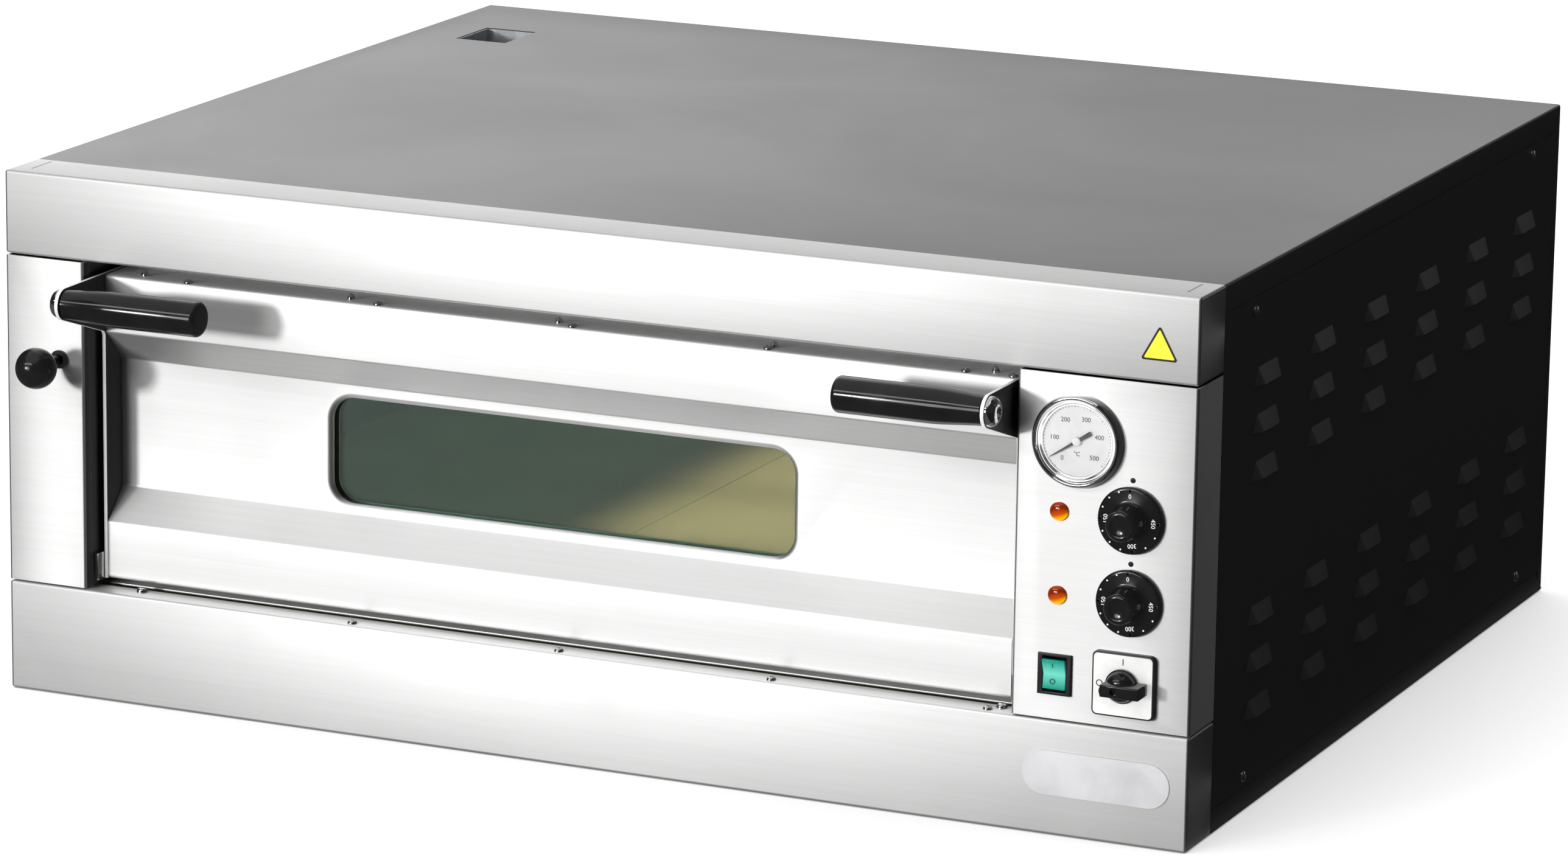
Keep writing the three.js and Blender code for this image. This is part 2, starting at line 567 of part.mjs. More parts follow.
// The wool between the skins, with room for the panes and for the hinge pins' heads.
function doorWool() {
  const back = DOOR.back - SHEET - 2 * GAP;
  const inset = SHEET + WOOL_GAP;
  const [front, low, high] = [DOOR.front + inset, PIVOT.z + 10, DOOR.z1 - inset];
  const outline = [
    [back, high], [front, high], [front, DOOR.z1 - BAND + 1], [SUNK + inset, DOOR.z1 - BAND - SLOPE + 1],
    [SUNK + inset, DOOR.z0 + BAND + SLOPE - 1], [front, DOOR.z0 + BAND - 1], [front, low], [back, low],
  ];
  const panes = box(WINDOW.x - PANE.w / 2 - 1, WINDOW.x + PANE.w / 2 + 1, 0, 100,
    WINDOW.z - PANE.h / 2 - 1, WINDOW.z + PANE.h / 2 + 1);
  return shaped(prism('x', outline, SKIN.x0 + 1, SKIN.x1 - 1), { cut: [panes] });
}
place(door, 'door_wool', doorWool(), mineralWool);

// An end plate: the door's whole side, with the arm that reaches forward to the handle.
function endPlateOutline() {
  const shape = new THREE.Shape();
  const reach = new THREE.Vector2(DOOR.front - HANDLE.y, ARM_ROOT_Z - HANDLE.z);
  const tangent = reach.angle() - Math.acos(ARM_RADIUS / reach.length());
  shape.moveTo(DOOR.back, DOOR.z0);
  shape.lineTo(DOOR.back, HANDLE.z + ARM_RADIUS);
  shape.absarc(HANDLE.y, HANDLE.z, ARM_RADIUS, Math.PI / 2, tangent);
  shape.lineTo(DOOR.front, ARM_ROOT_Z);
  shape.lineTo(DOOR.front, DOOR.z0);
  return shape;
}

for (const [side, face] of [['left', DOOR.x0], ['right', DOOR.x1]]) {
  const inward = side === 'left' ? 1 : -1;
  const [x0, x1] = [face, face + inward * END_PLATE].sort((a, b) => a - b);
  place(door, `door_end_plate_${side}`, shaped(prism('x', endPlateOutline(), x0, x1, 10), {
    cut: [
      prism('x', circle(PIVOT.y, PIVOT.z, PIN_HOLE), -HALF, HALF),
      prism('x', circle(HANDLE.y, HANDLE.z, 4 + GAP), -HALF, HALF),
    ],
  }), brushedSteel);
  // The grip, thinner where it meets the arm, with a blind bore for its screw.
  const at = (d) => face + inward * d;
  const root = END_PLATE + GAP;
  const end = root + HANDLE.length;
  place(door, `handle_${side}`, turnedX([
    [4 + GAP, at(root)], [HANDLE.rRoot, at(root)], [HANDLE.rEnd, at(root + 34)], [HANDLE.rEnd, at(end - 3)],
    [HANDLE.rEnd - 1, at(end - 1)], [HANDLE.rEnd - 3, at(end)], [0, at(end)],
    [0, at(root + 24)], [4 + GAP, at(root + 24)], [4 + GAP, at(root)],
  ], HANDLE.y, HANDLE.z, 24), bakelite);
  // Its domed socket screw, through the arm from outside.
  const dome = arc(0, 0, 1, 0, 90, 3).map(([c, s]) => [3 + 8.5 * c, at(-GAP - 6.8 * s)]);
  place(door, `handle_screw_${side}`, turnedX([
    [0, at(root + 22)], [4, at(root + 22)], [4, at(-GAP)], ...dome, [3, at(-3)], [0, at(-3)],
  ], HANDLE.y, HANDLE.z), chrome);
}

// ---------------------------------------------------------------- controls
// The thermometer: a can through the panel, a bezel in front of it, and the dial's face inside.
place(oven, 'thermometer_case', turnedY([
  [0, 24], [29.4, 24], [29.4, -GAP], [THERMOMETER.r, -GAP], [THERMOMETER.r, -4],
  [THERMOMETER.r - 2.5, -THERMOMETER.proud],
  [31, -THERMOMETER.proud], [31, -2.6], [0, -2.6],
], THERMOMETER.x, THERMOMETER.z, 32), chrome);
place(oven, 'thermometer_glass', turnedY([
  [0, -7.2], [31 - GAP, -7.2], [31 - GAP, -5.6], [0, -5.6],
], THERMOMETER.x, THERMOMETER.z, 32), clearGlass);

const NEEDLE_ANGLE = 213; // degrees from +X towards +Z, seen from the front

function needle() {
  const outline = [[-13, -1.6], [-13, 1.6], [0, 1.2], [24, 0.35], [24, -0.35], [0, -1.2]];
  const blade = prism('y', outline, -4.5, -3.9);
  const hub = turnedY([[0, -5.2], [3.4, -5.2], [3.4, -3.2], [0, -3.2]], 0, 0, 16);
  const turned = shaped(blade, { add: [hub] });
  return turned.rotateY(THREE.MathUtils.degToRad(-NEEDLE_ANGLE)).translate(THERMOMETER.x, 0, THERMOMETER.z);
}
place(oven, 'thermometer_needle', needle(), blackPlastic);

for (const [name, z] of LAMPS) {
  place(oven, name, turnedY([
    [0, -4.5], [4, -4], [6.2, -2.6], [7, -1.4], [7, -GAP], [5.2, -GAP], [5.2, 26], [0, 26],
  ], LAMP_X, z, 16), amberLens);
}

for (const [level, z] of THERMOSTATS) {
  const can = box(THERMOSTAT_X - 20, THERMOSTAT_X + 20, 4, 34, z - 18, z + 18);
  const shaft = turnedY([[0, -2], [3, -2], [3, 6], [0, 6]], THERMOSTAT_X, z, 12);
  place(oven, `thermostat_${level}`, shaped(can, { add: [shaft] }), galvanised);
  // The knob: a flat skirt with the scale, and a round grip in front of it.
  place(oven, `thermostat_knob_${level}`, turnedY([
    [0, -2 - GAP], [25, -2 - GAP], [25, -3.6], [24, -4.8], [13.5, -6.4], [12.6, -8], [11.8, -23],
    [10.6, -24.6], [0, -25],
  ], THERMOSTAT_X, z, 28), bakelite);
}

// The rocker switch: a frame with its housing, and a key that tips in it about an axle along X.
const KEY = { w: 17.6, h: 22.4 };

function rockerFrame() {
  const rim = box(ROCKER.x - ROCKER.w / 2, ROCKER.x + ROCKER.w / 2, -2.4, -GAP,
    ROCKER.z - ROCKER.h / 2, ROCKER.z + ROCKER.h / 2);
  const housing = box(ROCKER.x - 11, ROCKER.x + 11, -1, 24, ROCKER.z - 14.6, ROCKER.z + 14.6);
  const well = box(ROCKER.x - KEY.w / 2 - 0.5, ROCKER.x + KEY.w / 2 + 0.5, -10, 12,
    ROCKER.z - KEY.h / 2 - 2.2, ROCKER.z + KEY.h / 2 + 2.2);
  return shaped(rim, { add: [housing], cut: [well] });
}
place(oven, 'rocker_frame', rockerFrame(), blackPlastic);
const KEY_OUTLINE = [
  [-2.6, -KEY.h / 2], [-1.4, 0], [-5.4, KEY.h / 2], [-2.4, KEY.h / 2 + 0.4], [6, 3], [6, -3],
  [-0.2, -KEY.h / 2 - 0.4],
];
place(oven, 'rocker_key', prism('x', KEY_OUTLINE.map(([y, z]) => [y, z + ROCKER.z]),
  ROCKER.x - KEY.w / 2, ROCKER.x + KEY.w / 2), greenLens);

// The main switch: a square plate on its housing, and a handle that turns between two marks.
function mainSwitch() {
  const plate = prism('y', roundedRect(SWITCH.x, SWITCH.z, SWITCH.side, SWITCH.side, 4), -5, -GAP, 3);
  const neck = turnedY([[0, -1], [11.5, -1], [11.5, 8], [0, 8]], SWITCH.x, SWITCH.z);
  const housing = box(SWITCH.x - 20, SWITCH.x + 20, 3, 46, SWITCH.z - 22, SWITCH.z + 22);
  return shaped(plate, { add: [neck, housing] });
}
place(oven, 'main_switch', mainSwitch(), greyPlastic);

function switchHandle() {
  const disc = turnedY(
    [[0, -5 - GAP], [12.8, -5 - GAP], [12.8, -10], [11, -12.6], [0, -13.6]], SWITCH.x, SWITCH.z, 24);
  const bar = new THREE.Shape();
  bar.absarc(SWITCH.x - 6.8, SWITCH.z, 4.5, Math.PI / 2, (3 * Math.PI) / 2);
  bar.lineTo(SWITCH.x + 18.5, SWITCH.z - 4.5);
  bar.lineTo(SWITCH.x + 20, SWITCH.z - 3);
  bar.lineTo(SWITCH.x + 20, SWITCH.z + 3);
  bar.lineTo(SWITCH.x + 18.5, SWITCH.z + 4.5);
  return shaped(disc, { add: [prism('y', bar, -25, -8, 4)] });
}
place(oven, 'main_switch_handle', switchHandle(), blackPlastic);

// ---------------------------------------------------------------- wiring room
const TRAY_TOP = SHEET + GAP;

place(oven, 'contactor', shaped(box(385, 445, 560, 642, TRAY_TOP, 60), {
  add: [box(390, 440, 572, 630, 50, 82)],
  cut: [0, 1, 2].map((i) => box(393 + i * 16, 403 + i * 16, 550, 567, 40, 70)),
}), greyPlastic);
place(oven, 'terminal_block', shaped(box(400, 470, 720, 750, TRAY_TOP, 34), {
  cut: [0, 1, 2, 3].map((i) => box(404 + i * 17, 415 + i * 17, 726, 744, 20, 40)),
}), greyPlastic);

// The cable gland in the rear panel: a threaded neck, a flange and a domed nut, open right through.
place(oven, 'cable_gland', turnedY([
  [7.5, DEPTH - 16], [12.2, DEPTH - 16], [12.2, DEPTH + GAP], [GLAND.r, DEPTH + GAP], [GLAND.r, DEPTH + 13],
  [14, DEPTH + 22], [10.5, DEPTH + GLAND.reach], [7.5, DEPTH + GLAND.reach], [7.5, DEPTH - 16],
], GLAND.x, GLAND.z, 16), blackPlastic);

// ---------------------------------------------------------------- the whole oven
const group = new THREE.Group();
group.add(oven, door);
group.position.y = -MIDDLE_Y;

export default group;
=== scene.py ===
# %% [markdown]
# A single-deck electric bakery oven, finished in Blender around its CAD model. The CAD model fixes
# every size and every joint; this script gives each piece the surface the real one has: folded steel
# with rounded bends, brushed grain, textured coating, moulded black grips, glass, stone and wool.
#
# The file is written as a lesson. Each step says what the piece is on the real oven, how it could be
# made, and why this way was chosen. Sizes are millimetres; one helper turns them into metres.

# %% Load the CAD frame
import math

import bmesh
import bpy
from mathutils import Matrix, Vector


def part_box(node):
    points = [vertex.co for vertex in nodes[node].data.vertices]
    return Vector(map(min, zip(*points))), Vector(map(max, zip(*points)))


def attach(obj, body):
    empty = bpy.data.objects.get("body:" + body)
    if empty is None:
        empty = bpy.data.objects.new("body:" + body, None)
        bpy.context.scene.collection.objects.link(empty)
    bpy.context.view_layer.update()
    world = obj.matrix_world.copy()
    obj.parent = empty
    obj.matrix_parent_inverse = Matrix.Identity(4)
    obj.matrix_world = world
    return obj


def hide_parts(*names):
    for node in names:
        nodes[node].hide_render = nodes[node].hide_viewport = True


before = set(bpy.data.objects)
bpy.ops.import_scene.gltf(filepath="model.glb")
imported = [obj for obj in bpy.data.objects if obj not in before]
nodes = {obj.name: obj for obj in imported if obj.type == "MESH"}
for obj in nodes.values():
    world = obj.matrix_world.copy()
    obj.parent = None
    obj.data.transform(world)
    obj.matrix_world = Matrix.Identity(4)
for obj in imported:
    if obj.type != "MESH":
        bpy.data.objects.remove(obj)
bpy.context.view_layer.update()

# %% [markdown]
# All places are read from the CAD. `span("node")` gives a node's box in millimetres measured from the
# oven itself: x from its middle to the right, y from the plane of the front backwards, z up from its
# underside. `at` turns such a point back into metres.

# %% Units and places
MM = 0.001
FRONT_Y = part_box("control_panel")[0].y
SHEET = 1.5  # thickness of the casing's sheet
BEND = 2.2  # outside radius of its folds


def at(x, y, z):
    return Vector((x * MM, y * MM + FRONT_Y, z * MM))


def span(node):
    return [(v.x / MM, (v.y - FRONT_Y) / MM, v.z / MM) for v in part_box(node)]


def middle(node):
    low, high = span(node)
    return [(a + b) / 2 for a, b in zip(low, high)]


def front_place(node):
    """The x and z of a node's middle, for what sits on the front or the back."""
    x, _, z = middle(node)
    return x, z


def new_object(name, data):
    thing = bpy.data.objects.new(name, data)
    bpy.context.scene.collection.objects.link(thing)
    return thing


# %% Node helpers
def add(tree, kind, values=None, **settings):
    """A node. Each value is a constant for the socket, or an output that is linked to it."""
    node = tree.nodes.new(kind)
    for key, value in settings.items():
        setattr(node, key, value)
    for key, value in (values or {}).items():
        if isinstance(value, bpy.types.NodeSocket):
            tree.links.new(value, node.inputs[key])
        else:
            node.inputs[key].default_value = value
    return node


def calc(tree, operation, a, b=None, c=None):
    """A Math node; returns its output."""
    values = {i: value for i, value in enumerate((a, b, c)) if value is not None}
    return add(tree, "ShaderNodeMath", values, operation=operation).outputs[0]


def ramp(tree, value, low, high, out_low=0.0, out_high=1.0):
    """A clamped Map Range; returns its output."""
    return add(tree, "ShaderNodeMapRange", {0: value, 1: low, 2: high, 3: out_low, 4: out_high}).outputs[0]


def object_place(tree):
    return add(tree, "ShaderNodeTexCoord").outputs["Object"]


def noise(tree, place, **values):
    return add(tree, "ShaderNodeTexNoise", {"Vector": place, **values}).outputs[0]


def surface_normal(tree):
    return add(tree, "ShaderNodeNewGeometry").outputs["Normal"]


# %% [markdown]
# ## Camera, light and floor
# A long lens stands in front of the oven, to its right and a little above, so upright edges stay
# nearly parallel. The studio is white: a wide white floor, a broad soft sun overhead, and a bright
# card behind the oven that the coated top reflects at a low angle. To the right the cards are dim,
# because a coated black side looks black only where it has something dark to reflect. The cards are
# hidden from the camera, so any other view is clear too.

# %% Camera
camera = new_object("camera", bpy.data.cameras.new("camera"))
bpy.context.scene.camera = camera
camera.data.lens = 154.5
camera.data.sensor_width = 36
camera.data.clip_end = 200
CAMERA_AZIMUTH, CAMERA_ELEVATION, CAMERA_ROLL = (math.radians(a) for a in (23.99, 13.585, 0.802))
camera.location = (2.1154, -4.7791, 1.4381)
camera.rotation_euler = (
    Matrix.Rotation(CAMERA_AZIMUTH, 3, "Z")
    @ Matrix.Rotation(math.pi / 2 - CAMERA_ELEVATION, 3, "X")
    @ Matrix.Rotation(CAMERA_ROLL, 3, "Z")
).to_euler()


# %% Studio helpers
def quad(name, corners):
    mesh = bpy.data.meshes.new(name)
    mesh.from_pydata(corners, [], [(0, 1, 2, 3)])
    return new_object(name, mesh)


def hide_from(thing, *kinds):
    for kind in kinds:
        setattr(thing, "visible_" + kind, False)


def stage_card(name, corners, strength, fade=None):
    """A glowing card that only glossy rays see, given by its corners in metres. A fade is the pair
    (x, strength) at its other end: the glow changes evenly from the first corner's x to there."""
    card = quad(name, corners)
    material = bpy.data.materials.new(name)
    material.use_nodes = True
    tree = material.node_tree
    tree.nodes.clear()
    if fade:
        across = add(tree, "ShaderNodeSeparateXYZ", {0: object_place(tree)}).outputs["X"]
        strength = ramp(tree, across, corners[0][0], fade[0], strength, fade[1])
    glow = add(tree, "ShaderNodeEmission", {"Strength": strength})
    add(tree, "ShaderNodeOutputMaterial", {"Surface": glow.outputs[0]})
    card.data.materials.append(material)
    hide_from(card, "camera", "diffuse", "transmission", "shadow")


def level_card(name, x0, x1, y0, y1, z, strength):
    stage_card(name, [(x0, y0, z), (x1, y0, z), (x1, y1, z), (x0, y1, z)], strength)


def upright_card(name, x0, x1, y, z0, z1, strength, fade=None):
    stage_card(name, [(x0, y, z0), (x1, y, z0), (x1, y, z1), (x0, y, z1)], strength, fade)


def bearing(side, height):
    """Where a light stands: degrees to the left of the front, and above level."""
    a, h = math.radians(side), math.radians(height)
    return -math.sin(a) * math.cos(h), -math.cos(a) * math.cos(h), math.sin(h)


def soft_sun(name, toward, strength, angle):
    light = bpy.data.lights.new(name, "SUN")
    light.energy = strength
    light.angle = math.radians(angle)
    new_object(name, light).rotation_euler = Vector(toward).to_track_quat("Z", "Y").to_euler()


# %% Floor, sky and lights
FLOOR_REACH, FLOOR_DROP = 60, 0.0005
floor = quad("floor", [(x * FLOOR_REACH, y * FLOOR_REACH, -FLOOR_DROP)
                       for x, y in ((-1, -1), (1, -1), (1, 1), (-1, 1))])
floor_paint = bpy.data.materials.new("floor_paint")
floor_paint.use_nodes = True
floor_shader = floor_paint.node_tree.nodes["Principled BSDF"]
for socket, value in (("Base Color", (0.9, 0.9, 0.9, 1)), ("Roughness", 0.8), ("Specular IOR Level", 0.1),
                      ("Emission Color", (1, 1, 1, 1)), ("Emission Strength", 0.16)):
    floor_shader.inputs[socket].default_value = value
floor.data.materials.append(floor_paint)
hide_from(floor, "glossy")

world = bpy.data.worlds.new("studio")
bpy.context.scene.world = world
world.use_nodes = True
sky = world.node_tree
sky.nodes.clear()
rays = add(sky, "ShaderNodeLightPath").outputs


def sky_light(strength):
    return add(sky, "ShaderNodeBackground", {"Strength": strength, "Color": (1, 1, 1, 1)}).outputs[0]


def sky_choice(ray, otherwise, chosen):
    return add(sky, "ShaderNodeMixShader", {"Fac": rays[ray], 1: otherwise, 2: chosen}).outputs[0]


SKY_SEEN, SKY_DIFFUSE, SKY_GLOSSY = 1.0, 1.1, 0.02
unseen = sky_choice("Is Glossy Ray", sky_light(SKY_DIFFUSE), sky_light(SKY_GLOSSY))
add(sky, "ShaderNodeOutputWorld", {"Surface": sky_choice("Is Camera Ray", unseen, sky_light(SKY_SEEN))})

soft_sun("key", bearing(28, 9), 0.62, 6)
soft_sun("fill", bearing(17, 9), 0.32, 16)
soft_sun("overhead", (-0.2, -0.25, 1), 0.7, 60)
CARD_Z = 0.0002
upright_card("card_back", -3.5, 0.4, 3.2, 0.75, 2.0, 3.4, fade=(-0.8, 1.7))
level_card("card_floor", -8, 0.5, -8, 8, CARD_Z, 0.08)
level_card("card_floor_right", 0.5, 8, -8, 8, CARD_Z, 0.012)
upright_card("card_back_right", 0.6, 4.5, 3.2, 0.5, 1.7, 0.3)
level_card("card_overhead", -2.5, 0.8, -3.0, 1.0, 2.6, 0.5)
upright_card("card_strip", -4.0, -0.3, -4.0, 2.3, 3.0, 5.0)
bpy.context.scene.view_settings.view_transform = "Standard"


# %% Light in the baking chamber
def chamber_light(name, x0, x1, color, power):
    """A panel under the chamber's roof that shines down, seen only by what it lights."""
    roof, back = span("chamber_roof")[0][2], span("chamber_back")[0][1]
    light = bpy.data.lights.new(name, "AREA")
    light.shape = "RECTANGLE"
    light.size, light.size_y = (x1 - x0) * MM, (back - 200) * MM
    light.spread = math.radians(45)
    light.color = color
    light.energy = power
    panel = new_object(name, light)
    panel.location = at((x0 + x1) / 2, (back + 100) / 2, roof - 2)
    hide_from(panel, "camera", "glossy", "transmission")


chamber_light("chamber_warm", -60, 300, (1.0, 0.74, 0.52), 0.9)
chamber_light("chamber_dim", -370, -120, (0.1, 1.0, 0.45), 0.02)

# %% [markdown]
# ## Shared shader effects
# Several finishes need the same effect: a brushed grain, a fine coating texture, a soft smudge. Each
# is a node group with named inputs and outputs, built once and placed in every material that needs it
# with its own values. The groups put out only masks and heights; the shader itself stays in the
# material, so that what is constant can sit on the shader's own sockets.


# %% Node group helper
def node_group(name, inputs, outputs):
    """A new shader group: inputs are (name, default), outputs are names. Returns the tree and its inputs."""
    tree = bpy.data.node_groups.new(name, "ShaderNodeTree")
    for label, default in inputs:
        kind = "NodeSocketVector" if isinstance(default, tuple) else "NodeSocketFloat"
        tree.interface.new_socket(label, in_out="INPUT", socket_type=kind).default_value = default
    for label in outputs:
        tree.interface.new_socket(label, in_out="OUTPUT", socket_type="NodeSocketFloat")
    return tree, tree.nodes.new("NodeGroupInput").outputs


# %% [markdown]
# Brushed grain: an abrasive belt leaves long fine scratches in one direction. Noise on coordinates
# that are squeezed along the brushing gives such lines; two scales together avoid a printed look.

# %% Group: brushed grain
grain, given = node_group("brushed grain", [("Stretch", (4.0, 900.0, 900.0)), ("Fine", 1.0)],
                          ["Height", "Tone"])
squeezed = add(grain, "ShaderNodeVectorMath", {0: object_place(grain), 1: given["Stretch"]},
               operation="MULTIPLY").outputs[0]
fine = noise(grain, squeezed, Scale=given["Fine"], Detail=3.0, Roughness=0.7)
broad = noise(grain, squeezed, Scale=0.16, Detail=2.0)
tone = ramp(grain, calc(grain, "MULTIPLY_ADD", broad, 0.5, fine), 0.45, 1.05)
add(grain, "NodeGroupOutput", {"Height": fine, "Tone": tone})

# %% [markdown]
# Smudge: hands and cloths leave large faint patches that change the gloss more than the colour.

# %% Group: smudge
smudge, given = node_group("smudge", [("Scale", 6.0)], ["Mask"])
patches = noise(smudge, object_place(smudge), Scale=given["Scale"], Detail=4.0, Roughness=0.6, Distortion=0.6)
add(smudge, "NodeGroupOutput", {"Mask": ramp(smudge, patches, 0.35, 0.7)})

# %% [markdown]
# Pebble: a powder coat, a casting or a moulding has a fine even relief with no direction.

# %% Group: pebble
pebble, given = node_group("pebble", [("Scale", 700.0)], ["Height"])
relief = noise(pebble, object_place(pebble), Scale=given["Scale"], Detail=2.0, Roughness=0.55)
add(pebble, "NodeGroupOutput", {"Height": relief})

# %% [markdown]
# Dust settles where a surface faces up. The mask follows the shading normal's upward part, broken up
# by noise, so it works on any piece without a painted map.

# %% Group: dust
dust, given = node_group("dust", [("Amount", 0.3)], ["Mask"])
upward = ramp(dust, add(dust, "ShaderNodeSeparateXYZ", {0: surface_normal(dust)}).outputs["Z"], 0.5, 1.0)
patches = ramp(dust, noise(dust, object_place(dust), Scale=14.0, Detail=6.0, Roughness=0.65), 0.3, 0.75)
settled = calc(dust, "MULTIPLY", upward, patches)
add(dust, "NodeGroupOutput", {"Mask": calc(dust, "MULTIPLY", settled, given["Amount"])})


# %% [markdown]
# ## Materials
# One class starts a material with its constant values on the Principled shader and gives back
# small tools to link what changes: a colour between two shades, a roughness range, a bump.

# %% Material helper
class Finish:
    """A material under construction: constants first, then links for what varies."""

    def __init__(self, name, color, roughness, **constants):
        self.material = bpy.data.materials.new(name)
        self.material.use_nodes = True
        self.tree = self.material.node_tree
        self.shader = self.tree.nodes["Principled BSDF"]
        constants.update(Base_Color=(*color, 1), Roughness=roughness)
        for key, value in constants.items():
            self.shader.inputs[key.replace("_", " ")].default_value = value

    def feed(self, socket, output):
        self.tree.links.new(output, self.shader.inputs[socket])
        return self

    def effect(self, group, **values):
        return add(self.tree, "ShaderNodeGroup", values, node_tree=group).outputs

    def haze(self, scale):
        return self.effect(smudge, Scale=scale)["Mask"]

    def colors(self, mask, low, high):
        mix = add(self.tree, "ShaderNodeMix", {0: mask}, data_type="RGBA")
        for socket, color in zip([s for s in mix.inputs if s.type == "RGBA"], (low, high)):
            socket.default_value = (*color, 1)
        return self.feed("Base Color", next(s for s in mix.outputs if s.type == "RGBA"))

    def rough(self, mask, low, high):
        return self.feed("Roughness", ramp(self.tree, mask, 0, 1, low, high))

    def bump(self, height, strength, distance):
        values = {"Strength": strength, "Distance": distance * MM, "Height": height}
        return self.feed("Normal", add(self.tree, "ShaderNodeBump", values).outputs[0])

    def pebbled(self, scale, strength, distance):
        return self.bump(self.effect(pebble, Scale=scale)["Height"], strength, distance)

    def noise(self, scale, detail=4.0, stretch=None):
        place = object_place(self.tree)
        if stretch:
            squeezed = {0: place, 1: stretch}
            place = add(self.tree, "ShaderNodeVectorMath", squeezed, operation="MULTIPLY").outputs[0]
        return noise(self.tree, place, Scale=scale, Detail=detail)


# %% [markdown]
# Brushed steel is made in three directions: along the length of the front, upright on the narrow
# flanges and the door's end plates, and backwards on the ground rims, as each sheet was turned. The
# upright steel is given a dark colour: painted shade on the side faces, standing for the dim studio they
# reflect.

# %% Steel finishes
BRUSHED_ROUGH = (0.44, 0.5)


def brushed(name, brushing, color, dark, stretch, spread=0.7, metal=1.0):
    """Steel brushed along one axis. Its gloss spreads across the brushing, never along it."""
    finish = Finish(name, color, BRUSHED_ROUGH[0], Metallic=metal, Anisotropic=spread)
    across = add(finish.tree, "ShaderNodeVectorMath", {0: surface_normal(finish.tree), 1: brushing},
                 operation="CROSS_PRODUCT")
    lines = finish.effect(grain, Stretch=stretch)
    finish.feed("Tangent", across.outputs[0]).colors(lines["Tone"], dark, color)
    return finish.rough(finish.haze(5.0), *BRUSHED_ROUGH).bump(lines["Height"], 0.05, 0.05).material


def polished(name, color, rough):
    finish = Finish(name, color, rough, Metallic=1.0)
    return finish.rough(finish.haze(40.0), rough, rough + 0.06).material


def chamber_steel_finish():
    finish = Finish("chamber_steel", (0.42, 0.41, 0.38), 0.45, Metallic=1.0)
    heat = finish.haze(3.2)
    finish.colors(heat, (0.46, 0.46, 0.44), (0.30, 0.27, 0.19)).rough(heat, 0.35, 0.6)
    return finish.pebbled(260.0, 0.1, 0.1).material


def galvanised_finish():
    finish = Finish("galvanised_steel", (0.6, 0.62, 0.64), 0.38, Metallic=1.0)
    tree = finish.tree
    spangle = add(tree, "ShaderNodeTexVoronoi", {"Vector": object_place(tree), "Scale": 90.0})
    shade = add(tree, "ShaderNodeSeparateColor", {0: spangle.outputs["Color"]}).outputs
    finish.colors(shade[0], (0.48, 0.50, 0.52), (0.74, 0.76, 0.78))
    return finish.rough(shade[1], 0.28, 0.5).material


def sheath_finish():
    finish = Finish("element_sheath", (0.16, 0.15, 0.13), 0.5, Metallic=0.8)
    scale = finish.noise(60.0)
    return finish.colors(scale, (0.10, 0.10, 0.09), (0.26, 0.22, 0.17)).rough(scale, 0.4, 0.65).material


steel_along = brushed("steel_brushed_along", (1, 0.02, 0), (0.93, 0.93, 0.925), (0.86, 0.86, 0.855),
                      (5.0, 1500.0, 1500.0))
# The upright steel's dark colour (0.22, and 0.15 in the grain) is painted shade for the side faces that take
# it.
steel_upright_painted_dark = brushed("steel_upright_painted_shade", (0, 0.02, 1), (0.22, 0.22, 0.218), (0.15, 0.15, 0.148),
                        (1200.0, 1200.0, 5.0))
steel_backward = brushed("steel_brushed_backward", (0, 1, 0.02), (0.95, 0.95, 0.945), (0.86, 0.86, 0.855),
                         (900.0, 5.0, 900.0), spread=0.2, metal=0.35)
chamber_steel = chamber_steel_finish()
galvanised = galvanised_finish()
chrome = polished("chrome", (0.88, 0.88, 0.89), 0.05)
black_steel = polished("blackened_steel", (0.035, 0.034, 0.034), 0.22)
screw_steel = polished("screw_steel", (0.72, 0.72, 0.71), 0.16)
element_sheath = sheath_finish()


# %% [markdown]
# The casing is black powder coat with a very fine relief. It is dark by itself and turns grey only
# where it mirrors something bright at a low angle, which a plain Fresnel reflection gives for free.

# %% Coatings and mouldings
def powder_coat_finish():
    black, dusty = (0.007, 0.0072, 0.008), (0.16, 0.155, 0.145)
    finish = Finish("powder_coat_black", black, 0.36)
    finish.colors(finish.effect(dust, Amount=0.05)["Mask"], black, dusty)
    return finish.rough(finish.haze(3.0), 0.36, 0.39).pebbled(520.0, 0.16, 0.12).material


def moulded(name, color, rough, relief=0.03):
    finish = Finish(name, color, rough)
    lighter = tuple(min(1, c * 1.25 + 0.002) for c in color)
    patch = finish.haze(24.0)
    finish.colors(patch, color, lighter).rough(patch, rough, rough + 0.08)
    return finish.pebbled(1400.0, relief, 0.05).material


powder_coat = powder_coat_finish()
bakelite = moulded("bakelite_black", (0.006, 0.006, 0.0065), 0.10)
black_plastic = moulded("plastic_black", (0.012, 0.012, 0.013), 0.32, 0.12)
grey_plastic = moulded("plastic_grey", (0.62, 0.62, 0.61), 0.42, 0.08)
white_print = moulded("print_white", (0.82, 0.82, 0.80), 0.5)
black_print = moulded("print_black", (0.015, 0.015, 0.015), 0.5)
grey_print = moulded("print_grey", (0.44, 0.44, 0.45), 0.4)
dial_face = moulded("dial_face", (0.60, 0.60, 0.60), 0.45)
deep_green = moulded("print_deep_green", (0.0, 0.07, 0.055), 0.4)
yellow_film = moulded("film_yellow", (0.86, 0.62, 0.02), 0.35)
cable_black = moulded("gland_black", (0.02, 0.02, 0.021), 0.45, 0.1)
